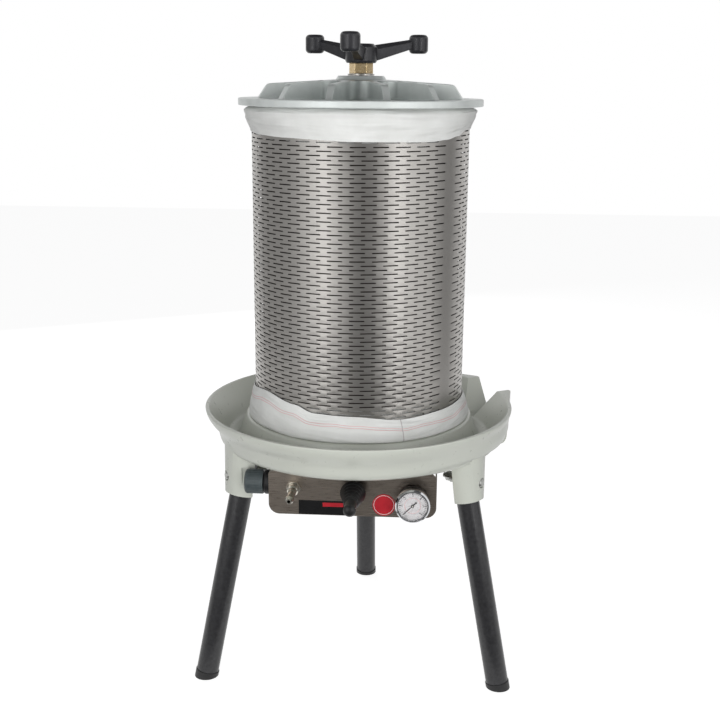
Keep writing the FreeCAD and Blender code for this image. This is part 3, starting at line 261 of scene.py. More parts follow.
def softEdges(tree, bump, radiusMm):
    # The edge a casting or moulding has, which catches the light
    edge = addNode(tree, "ShaderNodeBevel", {"Radius": radiusMm / 1000}, samples=4)
    tree.links.new(edge.outputs[0], bump.inputs["Normal"])


def closerThan(tree, limit):
    # One inside a radius round the press axis, nothing outside it
    apart = addNode(tree, "ShaderNodeSeparateXYZ", {"Vector": addNode(tree, "ShaderNodeTexCoord").outputs["Object"]})
    across = addNode(tree, "ShaderNodeCombineXYZ", {"X": apart.outputs[0], "Y": apart.outputs[1], "Z": 0.0})
    radius = addNode(tree, "ShaderNodeVectorMath", {0: across.outputs[0]}, operation="LENGTH")
    return addNode(tree, "ShaderNodeMath", {0: radius.outputs["Value"], 1: limit}, operation="LESS_THAN")


def makeMaterials():
    made = {}

    # Stove enamel sprayed on the tray casting: even grey-green gloss with a faint orange peel, 2 mm waves
    made["grey_enamel"], tree, shader = newMaterial("sprayedEnamel", "#C6C9C0", 0.3)
    space = objectSpace(tree)
    mottle(tree, shader, space, 90, "#C4C7BE", "#C8CBC2")
    roughened(tree, shader, space, 8, 0.27, 0.33)
    relief(tree, shader, space, 2.2, 0.015)

    # Hammer paint on steel tube: almost black with a soft sheen and 3 mm dimples
    made["dark_paint"], tree, shader = newMaterial("hammerPaint", "#28282A", 0.3)
    space = objectSpace(tree)
    mottle(tree, shader, space, 5, "#202022", "#313133")
    relief(tree, shader, space, 3.0, 0.08)

    # Moulded black polyethylene: matt, with the mould's fine grain
    made["black_plastic"], tree, shader = newMaterial("mouldedPolyethylene", "#111112", 0.46)
    space = objectSpace(tree)
    mottle(tree, shader, space, 12, "#0E0E0F", "#161617")
    relief(tree, shader, space, 0.8, 0.02)

    # Slate grey nylon knob, moulded, slightly satin
    made["slate_plastic"], tree, shader = newMaterial("mouldedNylon", "#424A4C", 0.42)
    space = objectSpace(tree)
    mottle(tree, shader, space, 8, "#3B4345", "#4A5254")
    relief(tree, shader, space, 0.8, 0.02)

    # Zinc-plated steel fasteners: grey with a cloudy passivation
    made["zinc_steel"], tree, shader = newMaterial("zincPlate", "#A9AAA6", 0.36, 1.0)
    space = objectSpace(tree)
    mottle(tree, shader, space, 3, "#8F908D", "#B9BAB6")

    # Stainless sheet and bar, ground along one way: fine lines about 0.3 mm apart, drawn at 0.8 mm
    made["stainless_steel"], tree, shader = newMaterial("groundStainless", "#B4B1AC", 0.32, 1.0)
    space = objectSpace(tree, (0.05, 1, 1))
    mottle(tree, shader, space, 0.8, "#A7A49F", "#BEBBB6", 2.0)
    roughened(tree, shader, space, 0.8, 0.26, 0.4)

    # Cast aluminium, tumbled and lacquered: pale grey, soft gloss, 1 mm pebble
    made["cast_aluminium"], tree, shader = newMaterial("lacqueredCasting", "#D4D9D7", 0.36, 0.6)
    space = objectSpace(tree)
    cast = mottle(tree, shader, space, 18, "#CFD4D2", "#D9DEDC")
    softEdges(tree, relief(tree, shader, space, 1.4, 0.02), 2.0)
    # the turned edge of the flange keeps more lacquer and looks paler
    apart = addNode(tree, "ShaderNodeSeparateXYZ", {"Vector": addNode(tree, "ShaderNodeTexCoord").outputs["Object"]})
    across = addNode(tree, "ShaderNodeCombineXYZ", {"X": apart.outputs[0], "Y": apart.outputs[1], "Z": 0.0})
    radius = addNode(tree, "ShaderNodeVectorMath", {0: across.outputs[0]}, operation="LENGTH")
    inside = addNode(tree, "ShaderNodeMath", {0: radius.outputs["Value"], 1: 0.1735}, operation="LESS_THAN")
    metal = addNode(tree, "ShaderNodeMapRange", {"Value": inside.outputs[0], "To Min": 0.25, "To Max": 0.6})
    tree.links.new(metal.outputs[0], shader.inputs["Metallic"])
    # the twelve flutes get a painted shade and reflection, darker towards their middles, from 50 to 162 mm out
    azimuth = addNode(tree, "ShaderNodeMath", {0: apart.outputs[1], 1: apart.outputs[0]}, operation="ARCTAN2")
    twelfths = addNode(tree, "ShaderNodeMath", {0: azimuth.outputs[0], 1: 12.0}, operation="MULTIPLY")
    ribs = addNode(tree, "ShaderNodeMath", {0: twelfths.outputs[0]}, operation="COSINE")
    paintedFluteShade = addNode(tree, "ShaderNodeMapRange", {"Value": ribs.outputs[0], "From Min": -0.5, "From Max": 0.95, "To Max": 0.95})
    near = addNode(tree, "ShaderNodeMapRange", {"Value": radius.outputs["Value"], "From Min": 0.050, "From Max": 0.064})
    far = addNode(tree, "ShaderNodeMapRange", {"Value": radius.outputs["Value"], "From Min": 0.162, "From Max": 0.150})
    ring = addNode(tree, "ShaderNodeMath", {0: near.outputs[0], 1: far.outputs[0]}, operation="MULTIPLY")
    where = addNode(tree, "ShaderNodeMath", {0: ring.outputs[0], 1: paintedFluteShade.outputs[0]}, operation="MULTIPLY")
    shaded = addNode(tree, "ShaderNodeMix", {"Factor": where.outputs[0]}, data_type="RGBA", blend_type="MULTIPLY")
    tree.links.new(cast.outputs["Color"], shaded.inputs[6])
    # painted shade: the grey that darkens the flutes' middles
    shaded.inputs[7].default_value = linearColour("#939796")
    tree.links.new(shaded.outputs[2], shader.inputs["Base Color"])

    # Black stoved paint on the star handle: semi-gloss
    made["black_handle"], tree, shader = newMaterial("stovedBlack", "#28282B", 0.3)
    space = objectSpace(tree)
    mottle(tree, shader, space, 9, "#222225", "#323236")
    softEdges(tree, relief(tree, shader, space, 1.6, 0.04), 1.6)

    # Black rubber: matt with a grey bloom in the folds
    made["black_rubber"], tree, shader = newMaterial("mouldedRubber", "#121213", 0.42)
    space = objectSpace(tree)
    mottle(tree, shader, space, 10, "#0E0E0F", "#1A1A1B")
    relief(tree, shader, space, 0.9, 0.02)

    # Nickel plate on brass, turned: warm grey mirror with turning marks
    made["nickel_brass"], tree, shader = newMaterial("nickelPlate", "#DAD5CA", 0.24, 1.0)
    space = objectSpace(tree, (1, 4, 1))
    mottle(tree, shader, space, 4, "#CFCABF", "#E2DDD2")

    # Chrome plate on the gauge's bezel: clear mirror
    made["chrome"], tree, shader = newMaterial("chromePlate", "#CFD0D2", 0.09, 1.0)
    roughened(tree, shader, objectSpace(tree), 6, 0.06, 0.13)

    # Printed dial: matt white enamel
    made["dial_white"], tree, shader = newMaterial("dialEnamel", "#C2C0C1", 0.4)
    mottle(tree, shader, objectSpace(tree), 9, "#BEBCBD", "#C6C4C5")

    # Gauge window: clear acrylic
    made["clear_glass"], tree, shader = newMaterial("clearAcrylic", "#FFFFFF", 0.03, Transmission_Weight=1.0, IOR=1.49)

    # Machined brass: yellow, turned, slightly tarnished
    made["brass"], tree, shader = newMaterial("turnedBrass", "#E6CC9E", 0.24, 1.0)
    space = objectSpace(tree)
    mottle(tree, shader, space, 7, "#DCC08E", "#F0D9B0")
    softEdges(tree, relief(tree, shader, space, 3, 0.02), 2.5)

    # Woven nylon filter cloth: plain weave, threads 0.5 mm apart, drawn at 1.4 mm so that it shows
    made["white_cloth"], tree, shader = newMaterial("wovenNylon", "#E4E5E2", 0.82, Sheen_Weight=0.15)
    space = uvSpace(tree)
    cloth = mottle(tree, shader, space, 45, "#DDDEDB", "#E9EAE8")
    warp = addNode(tree, "ShaderNodeTexWave", {"Vector": space, "Scale": 1000 / 1.4 / 10 * math.pi, "Distortion": 0.0}, bands_direction="X")
    weft = addNode(tree, "ShaderNodeTexWave", {"Vector": space, "Scale": 1000 / 1.4 / 10 * math.pi, "Distortion": 0.0}, bands_direction="Y")
    weave = addNode(tree, "ShaderNodeMath", {0: warp.outputs["Fac"], 1: weft.outputs["Fac"]}, operation="MULTIPLY")
    bump = addNode(tree, "ShaderNodeBump", {"Height": weave.outputs[0], "Distance": 0.0002, "Strength": 0.6})
    # the wet cloth dries in long shallow creases that run round the basket, 20 mm apart
    round = addNode(tree, "ShaderNodeVectorMath", {0: space, 1: (0.16, 1.0, 1.0)}, operation="MULTIPLY")
    creases = addNode(tree, "ShaderNodeTexNoise", {"Vector": round.outputs[0], "Scale": 48.0, "Detail": 2.0, "Distortion": 0.4})
    creased = addNode(tree, "ShaderNodeBump", {"Height": creases.outputs["Fac"], "Distance": 0.014, "Strength": 0.7,
                                               "Normal": bump.outputs[0]})
    tree.links.new(creased.outputs[0], shader.inputs["Normal"])
    # two rows of pink thread hold the lower hem, and a short seam closes it
    apart = addNode(tree, "ShaderNodeSeparateXYZ", {"Vector": addNode(tree, "ShaderNodeUVMap", uv_map="hemUV").outputs[0]})
    drift = addNode(tree, "ShaderNodeTexNoise", {"Vector": space, "Scale": 25.0, "Detail": 1.0})
    height = addNode(tree, "ShaderNodeMath", {0: drift.outputs["Fac"], 1: 0.006, 2: apart.outputs[1]}, operation="MULTIPLY_ADD")
    rows = []
    for source, middle, half in ((height, 0.0165, 0.0006), (height, 0.0195, 0.0006)):
        off = addNode(tree, "ShaderNodeMath", {0: source.outputs[0], 1: middle}, operation="SUBTRACT")
        away = addNode(tree, "ShaderNodeMath", {0: off.outputs[0]}, operation="ABSOLUTE")
        rows.append(addNode(tree, "ShaderNodeMath", {0: away.outputs[0], 1: half}, operation="LESS_THAN"))
    thread = addNode(tree, "ShaderNodeMath", {0: rows[0].outputs[0], 1: rows[1].outputs[0]}, operation="MAXIMUM")
    faded = addNode(tree, "ShaderNodeMath", {0: thread.outputs[0], 1: 0.5}, operation="MULTIPLY")
    pink = addNode(tree, "ShaderNodeMix", {"Factor": faded.outputs[0]}, data_type="RGBA")
    tree.links.new(cloth.outputs["Color"], pink.inputs[6])
    pink.inputs[7].default_value = linearColour("#D98F95")
    off = addNode(tree, "ShaderNodeMath", {0: apart.outputs[0], 1: 0.3225}, operation="SUBTRACT")
    away = addNode(tree, "ShaderNodeMath", {0: off.outputs[0]}, operation="ABSOLUTE")
    near = addNode(tree, "ShaderNodeMath", {0: away.outputs[0], 1: 0.0007}, operation="LESS_THAN")
    low = addNode(tree, "ShaderNodeMath", {0: apart.outputs[1], 1: 0.05}, operation="LESS_THAN")
    seam = addNode(tree, "ShaderNodeMath", {0: near.outputs[0], 1: low.outputs[0]}, operation="MULTIPLY")
    grey = addNode(tree, "ShaderNodeMix", {"Factor": seam.outputs[0]}, data_type="RGBA")
    tree.links.new(pink.outputs[2], grey.inputs[6])
    grey.inputs[7].default_value = linearColour("#BDB8B7")
    # what hangs inside the basket is painted dark brown-grey, a painted shade of the basket's inside
    clothPaintedShade = addNode(tree, "ShaderNodeMix", {"Factor": closerThan(tree, 0.152).outputs[0]}, data_type="RGBA")
    tree.links.new(grey.outputs[2], clothPaintedShade.inputs[6])
    # painted shade: colour of the cloth inside the basket
    clothPaintedShade.inputs[7].default_value = linearColour("#4E4843")
    tree.links.new(clothPaintedShade.outputs[2], shader.inputs["Base Color"])
    return made


materials = makeMaterials()
for row in frame["record"]["subparts"]:
    thing = nodes[row["node"]]
    thing.data.materials.clear()
    thing.data.materials.append(materials[row["material_slot"]])
print("materials made:", len(materials))


def finishPiece(piece, material, body, slot, *replaced):
    bpy.ops.object.mode_set(mode="OBJECT") if piece.mode != "OBJECT" else None
    piece.data.materials.clear()
    piece.data.materials.append(material)
    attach(piece, body)
    if replaced:
        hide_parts(*replaced)


# basket: sheet steel, punched flat and rolled; the punching is drawn once and copied
basket = {
    "radius": 0.160,
    "wall": 0.0015,
    "low": 0.3992,
    "height": 0.462,
    "rows": 74,
    "slotsPerRow": 31,
    "rowHeight": 0.00595,
    "slotLength": 0.0218,
    "slotHeight": 0.0019,
    "seamAzimuth": -37,
}


def selectInEdit(piece, wanted):
    mesh = bmesh.from_edit_mesh(piece.data)
    for vertex in mesh.verts:
        vertex.select = wanted(vertex.co)
    mesh.select_flush_mode()
    bmesh.update_edit_mesh(piece.data)


def slotCell(width, height):
    deselectAll()
    radius = basket["slotHeight"] / 2
    bpy.ops.mesh.primitive_circle_add(vertices=12, radius=radius, rotation=(0, 0, 0))
    cell = bpy.context.object
    bpy.ops.object.mode_set(mode="EDIT")
    bpy.ops.mesh.select_mode(type="VERT")
    for side in (1, -1):
        selectInEdit(cell, lambda co: co.x * side > 1e-6 or (abs(co.x) < 1e-6 and side > 0 and co.y > 0)
                     or (abs(co.x) < 1e-6 and side < 0 and co.y < 0))
        bpy.ops.transform.translate(value=(side * (basket["slotLength"] / 2 - radius), 0, 0))
    bpy.ops.mesh.select_all(action="DESELECT")
    bpy.ops.mesh.primitive_plane_add(size=1)
    bpy.ops.transform.resize(value=(width, height, 1), center_override=(0, 0, 0))
    bpy.ops.mesh.delete(type="ONLY_FACE")
    mesh = bmesh.from_edit_mesh(cell.data)
    for wantLong, cuts in ((True, 3), (False, 1)):
        bpy.ops.mesh.select_all(action="DESELECT")
        mesh = bmesh.from_edit_mesh(cell.data)
        for edge in mesh.edges:
            a, b = edge.verts
            onBorder = all(abs(abs(v.co.x) - width / 2) < 1e-6 or abs(abs(v.co.y) - height / 2) < 1e-6 for v in (a, b))
            if onBorder and (abs(a.co.x - b.co.x) > abs(a.co.y - b.co.y)) == wantLong:
                edge.select = True
        bmesh.update_edit_mesh(cell.data)
        bpy.ops.mesh.subdivide(number_cuts=cuts)
    bpy.ops.mesh.select_all(action="SELECT")
    bpy.ops.mesh.bridge_edge_loops()
    bpy.ops.object.mode_set(mode="OBJECT")
    return cell


def applyArray(piece, count, offset):
    array = piece.modifiers.new("repeat", "ARRAY")
    array.count = count
    array.use_relative_offset = False
    array.use_constant_offset = True
    array.constant_offset_displace = offset
    array.use_merge_vertices = True
    array.merge_threshold = 0.00001
    deselectAll()
    bpy.context.view_layer.objects.active = piece
    piece.select_set(True)
    bpy.ops.object.modifier_apply(modifier=array.name)


def buildBasketSheet():
    radius = basket["radius"] - basket["wall"] / 2
    width = 2 * math.pi * radius / (basket["slotsPerRow"] + 1)
    height = basket["rowHeight"]
    punched = slotCell(width, height)
    punched.name = "basketSheet"
    applyArray(punched, basket["slotsPerRow"], (width, 0, 0))
    # the plain cell where the sheet's ends are welded
    deselectAll()
    bpy.ops.mesh.primitive_grid_add(x_subdivisions=4, y_subdivisions=2, size=1, location=(-width, 0, 0))
    plain = bpy.context.object
    plain.scale = (width, height, 1)
    bpy.ops.object.transform_apply(location=True, rotation=True, scale=True)
    punched.select_set(True)
    bpy.context.view_layer.objects.active = punched
    bpy.ops.object.join()
    # a second row, half a pitch along, and then the pair all the way up
    deselectAll()
    punched.select_set(True)
    bpy.context.view_layer.objects.active = punched
    bpy.ops.object.mode_set(mode="EDIT")
    bpy.ops.mesh.select_all(action="SELECT")
    bpy.ops.mesh.duplicate_move(TRANSFORM_OT_translate={"value": (width / 2, height, 0)})
    bpy.ops.mesh.select_all(action="SELECT")
    bpy.ops.mesh.remove_doubles(threshold=0.00001)
    bpy.ops.object.mode_set(mode="OBJECT")
    applyArray(punched, basket["rows"] // 2, (0, 2 * height, 0))
    # plain margins to the sheet's edges
    margin = (basket["height"] - basket["rows"] * height) / 2
    top = (basket["rows"] - 0.5) * height
    bpy.ops.object.mode_set(mode="EDIT")
    for level, way in ((-height / 2, -1), (top, 1)):
        bpy.ops.mesh.select_all(action="DESELECT")
        bpy.ops.mesh.select_mode(type="EDGE")
        mesh = bmesh.from_edit_mesh(punched.data)
        for edge in mesh.edges:
            edge.select = all(abs(vertex.co.y - level) < 1e-6 for vertex in edge.verts)
        bmesh.update_edit_mesh(punched.data)
        bpy.ops.mesh.extrude_region_move(TRANSFORM_OT_translate={"value": (0, way * margin, 0)})
    bpy.ops.object.mode_set(mode="OBJECT")
    # roll it up
    start = math.radians(basket["seamAzimuth"])
    low = basket["low"] + margin + height / 2
    uvLayer = punched.data.uv_layers.new(name="sheetUV")
    for loop in punched.data.loops:
        co = punched.data.vertices[loop.vertex_index].co
        uvLayer.data[loop.index].uv = (co.x, co.y)
    for vertex in punched.data.vertices:
        angle = start + (vertex.co.x + width) / radius
        vertex.co = (radius * math.cos(angle), radius * math.sin(angle), low + vertex.co.y)
    bpy.ops.object.mode_set(mode="EDIT")
    bpy.ops.mesh.select_all(action="SELECT")
    bpy.ops.mesh.remove_doubles(threshold=0.00001)
    bpy.ops.mesh.normals_make_consistent(inside=False)
    bpy.ops.object.mode_set(mode="OBJECT")
    solid = punched.modifiers.new("gauge", "SOLIDIFY")
    solid.thickness = basket["wall"]
    solid.offset = 0
    bpy.ops.object.modifier_apply(modifier=solid.name)
    bpy.ops.object.shade_smooth_by_angle(angle=math.radians(35))
    return punched


sheetWidth = 2 * math.pi * (basket["radius"] - basket["wall"] / 2) / (basket["slotsPerRow"] + 1)
basketSheet = buildBasketSheet()
print("basket sheet:", len(basketSheet.data.polygons), "faces")

# Rolled stainless sheet: streaks 1 mm high run round the drum, with soft handling marks
sheetSteel, tree, shader = newMaterial("rolledStainless", "#B2AFAB", 0.34, 1.0)
space = uvSpace(tree, (0.06, 1, 1))
streaks = mottle(tree, shader, space, 2.0, "#A19E9A", "#BBB8B4", 3.0)
roughened(tree, shader, space, 1.5, 0.28, 0.42)
# the weld up the plain strip is a straw-pink line 1.4 mm wide
apart = addNode(tree, "ShaderNodeSeparateXYZ", {"Vector": uvSpace(tree)})
off = addNode(tree, "ShaderNodeMath", {0: apart.outputs[0], 1: sheetWidth}, operation="ADD")
away = addNode(tree, "ShaderNodeMath", {0: off.outputs[0]}, operation="ABSOLUTE")
weld = addNode(tree, "ShaderNodeMath", {0: away.outputs[0], 1: 0.0007}, operation="LESS_THAN")
tint = addNode(tree, "ShaderNodeMix", {"Factor": weld.outputs[0]}, data_type="RGBA")
tree.links.new(streaks.outputs["Color"], tint.inputs[6])
tint.inputs[7].default_value = linearColour("#D3BDB4")
# the inside of the sheet is painted dark brown, a painted shade inside the basket
within = closerThan(tree, basket["radius"] - basket["wall"] * 0.6)
sheetPaintedShade = addNode(tree, "ShaderNodeMix", {"Factor": within.outputs[0]}, data_type="RGBA")
tree.links.new(tint.outputs[2], sheetPaintedShade.inputs[6])
# painted shade: colour of the sheet's inside
sheetPaintedShade.inputs[7].default_value = linearColour("#37332F")
tree.links.new(sheetPaintedShade.outputs[2], shader.inputs["Base Color"])
finishPiece(basketSheet, sheetSteel, "basket", "stainless_steel", "basket")


# filter bag: one tube of cloth, slack inside the basket and turned out over both of its rims
bag = {
    "columns": 240,
    "thickness": 0.0008,
    "slackRadius": 0.147,
    "topHem": [(-180, 0.829), (-163, 0.826), (-148, 0.8235), (-125, 0.822), (-87, 0.819), (-51, 0.818),
               (-39, 0.820), (-29, 0.824), (-20, 0.831), (20, 0.834), (90, 0.823), (150, 0.828), (180, 0.829)],
    "bottomHem": [(-180, 0.441), (-170, 0.444), (-143, 0.452), (-121, 0.444), (-110, 0.436), (-90, 0.435),
                  (-63, 0.428), (-41, 0.430), (-9, 0.432), (40, 0.438), (90, 0.445), (140, 0.438), (180, 0.441)],
    "footRadius": [(-180, 0.1700), (-140, 0.1715), (-112, 0.1744), (-60, 0.1744), (-30, 0.1712), (20, 0.1700), (180, 0.1700)],
}


def alongTable(table, angle):
    for (a, low), (b, high) in zip(table, table[1:]):
        if a <= angle <= b:
            part = (angle - a) / (b - a)
            part = part * part * (3 - 2 * part)
            return low + (high - low) * part
    return table[-1][1]


def wander(angle, height, seed):
    # A small repeatable wave that closes on itself round the bag
    a = math.radians(angle)
    return (math.sin(3 * a + seed + height * 40) + 0.6 * math.sin(7 * a - 2 * seed + height * 90)
            + 0.4 * math.sin(16 * a + 3 * seed + height * 160)) / 2


def bagProfile(angle):
    hemTop = alongTable(bag["topHem"], angle)
    hemLow = alongTable(bag["bottomHem"], angle)
    points = []
    steps = 14
    for step in range(steps + 1):  # top fold, from its hem up to the lid, with a lumpy roll right under the flange
        part = step / steps
        z = hemTop + (0.8605 - hemTop) * part
        out = 0.1613 + 0.0082 * math.sin(min(part * 1.25, 1) * math.pi / 2) ** 1.5 - 0.0055 * max(0, (part - 0.85) / 0.15) ** 2
        roll = math.exp(-((part - 0.84) / 0.07) ** 2) * (0.0013 + 0.0009 * wander(angle, 0, 0.4))
        crease = 0.0011 * math.exp(-((part - 0.68 - 0.05 * wander(angle, 0, 2.9)) / 0.06) ** 2)
        points.append((out + roll - crease + 0.0008 * wander(angle, z, 1.3) * min(part * 3, 1), z))
    points += [(0.1607, 0.86205), (0.1590, 0.8622), (0.1568, 0.8612), (0.1562, 0.855), (0.1560, 0.842)]
    for step in range(1, 20):  # slack inside
        part = step / 20
        z = 0.836 - (0.836 - 0.424) * part
        ease = min(1, min(part, 1 - part) * 9)
        ease = ease * ease * (3 - 2 * ease)
        out = 0.1555 + (bag["slackRadius"] - 0.1555) * ease + 0.0022 * ease * wander(angle, z, 4.1)
        points.append((out, z))
    foot = alongTable(bag["footRadius"], angle)
    points += [(0.1560, 0.418), (0.1562, 0.405), (0.1566, 0.4), (0.1576, 0.39865), (0.1600, 0.3986),
               (0.1655, 0.3987), (foot - 0.0030, 0.3989), (foot - 0.0008, 0.3997)]
    steps = 14
    for step in range(steps + 1):  # bottom fold, from the tray up to its hem
        part = step / steps
        z = 0.4012 + (hemLow - 0.4012) * part
        out = 0.1614 + (foot - 0.1614) * (1 - part ** 1.6)
        crease = 0.0008 * math.exp(-((part - 0.55 - 0.06 * wander(angle, 0, 1.9)) / 0.07) ** 2)
        points.append((out - crease + 0.0006 * wander(angle, z, 2.2) * (1 - part), z))
    return points


def buildFilterBag():
    deselectAll()
    columns = bag["columns"]
    rings = [bagProfile(-180 + 360 * column / columns) for column in range(columns)]
    verts = []
    for column, ring in enumerate(rings):
        angle = math.radians(-180 + 360 * column / columns)
        verts += [(r * math.cos(angle), r * math.sin(angle), z) for r, z in ring]
    count = len(rings[0])
    faces = []
    uvs = []
    lengths = [0]
    for (r1, z1), (r2, z2) in zip(rings[0], rings[0][1:]):
        lengths.append(lengths[-1] + math.hypot(r2 - r1, z2 - z1))
    around = 2 * math.pi * 0.16 / columns
    for column in range(columns):
        after = (column + 1) % columns
        for level in range(count - 1):
            faces.append((column * count + level, column * count + level + 1, after * count + level + 1, after * count + level))
            uvs.append([(column * around, lengths[level]), (column * around, lengths[level + 1]),
                        ((column + 1) * around, lengths[level + 1]), ((column + 1) * around, lengths[level])])
    mesh = bpy.data.meshes.new("filterBag")
    mesh.from_pydata(verts, [], faces)
    layer = mesh.uv_layers.new(name="clothUV")
    for polygon, spots in zip(mesh.polygons, uvs):
        for loop, spot in zip(polygon.loop_indices, spots):
            layer.data[loop].uv = spot
    hem = mesh.uv_layers.new(name="hemUV")  # along the hem, and down from it
    for polygon, spots in zip(mesh.polygons, uvs):
        for loop, spot in zip(polygon.loop_indices, spots):
            ring = rings[(mesh.loops[loop].vertex_index // count) % columns]
            level = mesh.loops[loop].vertex_index % count
            down = sum(math.hypot(r2 - r1, z2 - z1) for (r1, z1), (r2, z2) in zip(ring[level:], ring[level + 1:])) if level > count - 24 else 1
            hem.data[loop].uv = (spot[0], down)
    piece = bpy.data.objects.new("filterBag", mesh)
    bpy.context.collection.objects.link(piece)
    deselectAll()
    bpy.context.view_layer.objects.active = piece
    piece.select_set(True)
    bpy.ops.object.mode_set(mode="EDIT")
    bpy.ops.mesh.select_all(action="SELECT")
    bpy.ops.mesh.normals_make_consistent(inside=False)
    bpy.ops.object.mode_set(mode="OBJECT")
    solid = piece.modifiers.new("cloth", "SOLIDIFY")
    solid.thickness = bag["thickness"]
    solid.offset = 0
    bpy.ops.object.modifier_apply(modifier=solid.name)
    bpy.ops.object.shade_smooth_by_angle(angle=math.radians(50))
    return piece


filterBag = buildFilterBag()
finishPiece(filterBag, materials["white_cloth"], "basket", "white_cloth", "filter_bag")
print("filter bag:", len(filterBag.data.polygons), "faces")


# tray casting: the bowl is spun, the spout and the leg sockets are joined on, and then the mouth is cut
tray = {
    "outside": [  # radius and height, millimetres, from the post's hole over the rim and back underneath
        (10.5, 411), (238, 411), (237.7, 407.5), (236.7, 404), (235, 400), (232.6, 396), (229.6, 392), (226.2, 388), (223, 384),
        (220.6, 380), (219, 376), (218, 372), (217.2, 368), (216, 364), (213.8, 360.5), (210.4, 357.6), (206, 355.7),
        (201, 355), (181, 355), (168, 392), (22, 392), (22, 380), (10.5, 380)],
    "outsideRounds": [(238, 411, 1.6, 3), (181, 355, 2.0, 2)],  # corner, reach, steps
    "inside": [
        (0, 398), (174, 398), (187, 361), (203, 361), (214, 381), (231.6, 409.5), (232.4, 410.5), (233.5, 411.05), (236, 411.3),
        (236, 470), (0, 470)],
    "insideRounds": [(174, 398, 3.0, 3), (187, 361, 5.0, 4), (203, 361, 5.0, 4), (214, 381, 7.0, 4)],
    "turns": 144,
    "spoutAzimuth": 30,
    "spoutReach": 250,
    "spoutHalf": 51,
    "spoutBottom": 354.5,
    "touchRadius": 232,
    "swell": 13,  # how far the wall widens towards the spout
    "mouth": [(44.5, 440), (44.5, 411.5), (14, 363.4), (5.5, 360.6)],
    "legs": (210, 330, 90),
    "legSpread": 260,
    "legLean": 12.1,
    "socketMouth": 298,
    "socketRadius": 24.5,
    "socketTop": 44.8,
    "socketHeight": 107,
    "socketFace": 188,
    "boltPlace": (216.7, 322),
}


def spun(name, section, turns):
    # An open section starts and ends on the axis, a closed one is joined up before the spin
    deselectAll()
    bpy.ops.mesh.primitive_plane_add(size=0.001)
    piece = bpy.context.object
    piece.name = name
    bpy.ops.object.mode_set(mode="EDIT")
    bpy.ops.mesh.select_mode(type="VERT")
    bpy.ops.mesh.select_all(action="SELECT")
    bpy.ops.mesh.merge(type="CENTER")
    bpy.ops.transform.translate(value=(section[0][0] / 1000, 0, section[0][1] / 1000))
    for (r1, z1), (r2, z2) in zip(section, section[1:]):
        bpy.ops.mesh.extrude_vertices_move(TRANSFORM_OT_translate={"value": ((r2 - r1) / 1000, 0, (z2 - z1) / 1000)})
    if section[0][0] > 0:
        ends = [Vector((r / 1000, 0, z / 1000)) for r, z in (section[0], section[-1])]
        selectInEdit(piece, lambda co: any((co - end).length < 1e-6 for end in ends))
        bpy.ops.mesh.edge_face_add()
    bpy.ops.mesh.select_all(action="SELECT")
    bpy.ops.mesh.spin(steps=turns, angle=2 * math.pi, center=(0, 0, 0), axis=(0, 0, 1))
    bpy.ops.mesh.select_all(action="SELECT")
    bpy.ops.mesh.remove_doubles(threshold=0.00001)
    bpy.ops.mesh.normals_make_consistent(inside=False)
    bpy.ops.object.mode_set(mode="OBJECT")
    return piece


def roundRings(piece, rounds):
    for r, z, reach, steps in rounds:
        deselectAll()
        piece.select_set(True)
        bpy.context.view_layer.objects.active = piece
        bpy.ops.object.mode_set(mode="EDIT")
        bpy.ops.mesh.select_mode(type="EDGE")
        bpy.ops.mesh.select_all(action="DESELECT")
        mesh = bmesh.from_edit_mesh(piece.data)
        for edge in mesh.edges:
            edge.select = all(abs(v.co.xy.length - r / 1000) < 2e-5 and abs(v.co.z - z / 1000) < 2e-5 for v in edge.verts)
        bmesh.update_edit_mesh(piece.data)
        bpy.ops.mesh.bevel(offset=reach / 1000, segments=steps, affect="EDGES")
        bpy.ops.object.mode_set(mode="OBJECT")


def combine(piece, other, operation):
    step = piece.modifiers.new(operation, "BOOLEAN")
    step.operation = operation
    step.object = other
    step.solver = "EXACT"
    deselectAll()
    bpy.context.view_layer.objects.active = piece
    piece.select_set(True)
    bpy.ops.object.modifier_apply(modifier=step.name)


def rod(radius, length, matrix, sides=64, topRadius=None):
    deselectAll()
    bpy.ops.mesh.primitive_cone_add(vertices=sides, radius1=radius / 1000, radius2=(topRadius or radius) / 1000, depth=length / 1000)
    piece = bpy.context.object
    piece.data.transform(matrix @ Matrix.Translation((0, 0, length / 2000)))
    return piece


def prism(corners, low, high, matrix):
    # Corners in the XY plane, drawn up along Z
    deselectAll()
    bpy.ops.mesh.primitive_circle_add(vertices=len(corners), radius=0.01, fill_type="NGON")
    piece = bpy.context.object
    for vertex, (x, y) in zip(piece.data.vertices, corners):
        vertex.co = (x / 1000, y / 1000, low / 1000)
    bpy.ops.object.mode_set(mode="EDIT")
    bpy.ops.mesh.select_all(action="SELECT")
    bpy.ops.mesh.extrude_region_move(TRANSFORM_OT_translate={"value": (0, 0, (high - low) / 1000)})
    bpy.ops.mesh.select_all(action="SELECT")
    bpy.ops.mesh.normals_make_consistent(inside=False)
    bpy.ops.object.mode_set(mode="OBJECT")
    piece.data.transform(matrix)
    return piece


def turnZ(degrees):
    return Matrix.Rotation(math.radians(degrees), 4, "Z")


def place(x, y, z):
    return Matrix.Translation((x / 1000, y / 1000, z / 1000))


def swellTowardsSpout(piece):
    for vertex in piece.data.vertices:
        radius = vertex.co.xy.length * 1000
        z = vertex.co.z * 1000
        if radius < 200 or z > 396 or z < 354 or (z > 358 and radius < 216.5):
            continue
        apart = abs((math.degrees(math.atan2(vertex.co.y, vertex.co.x)) - tray["spoutAzimuth"] + 180) % 360 - 180)
        near = min(1, max(0, (105 - apart) / 65))
        near = near * near * (3 - 2 * near)
        height = min(1, (396 - z) / 14) * (1 if z > 372 else 1 - (372 - z) / 17 * 0.6)
        grown = (radius + tray["swell"] * near * height) / radius
        vertex.co.x *= grown
        vertex.co.y *= grown


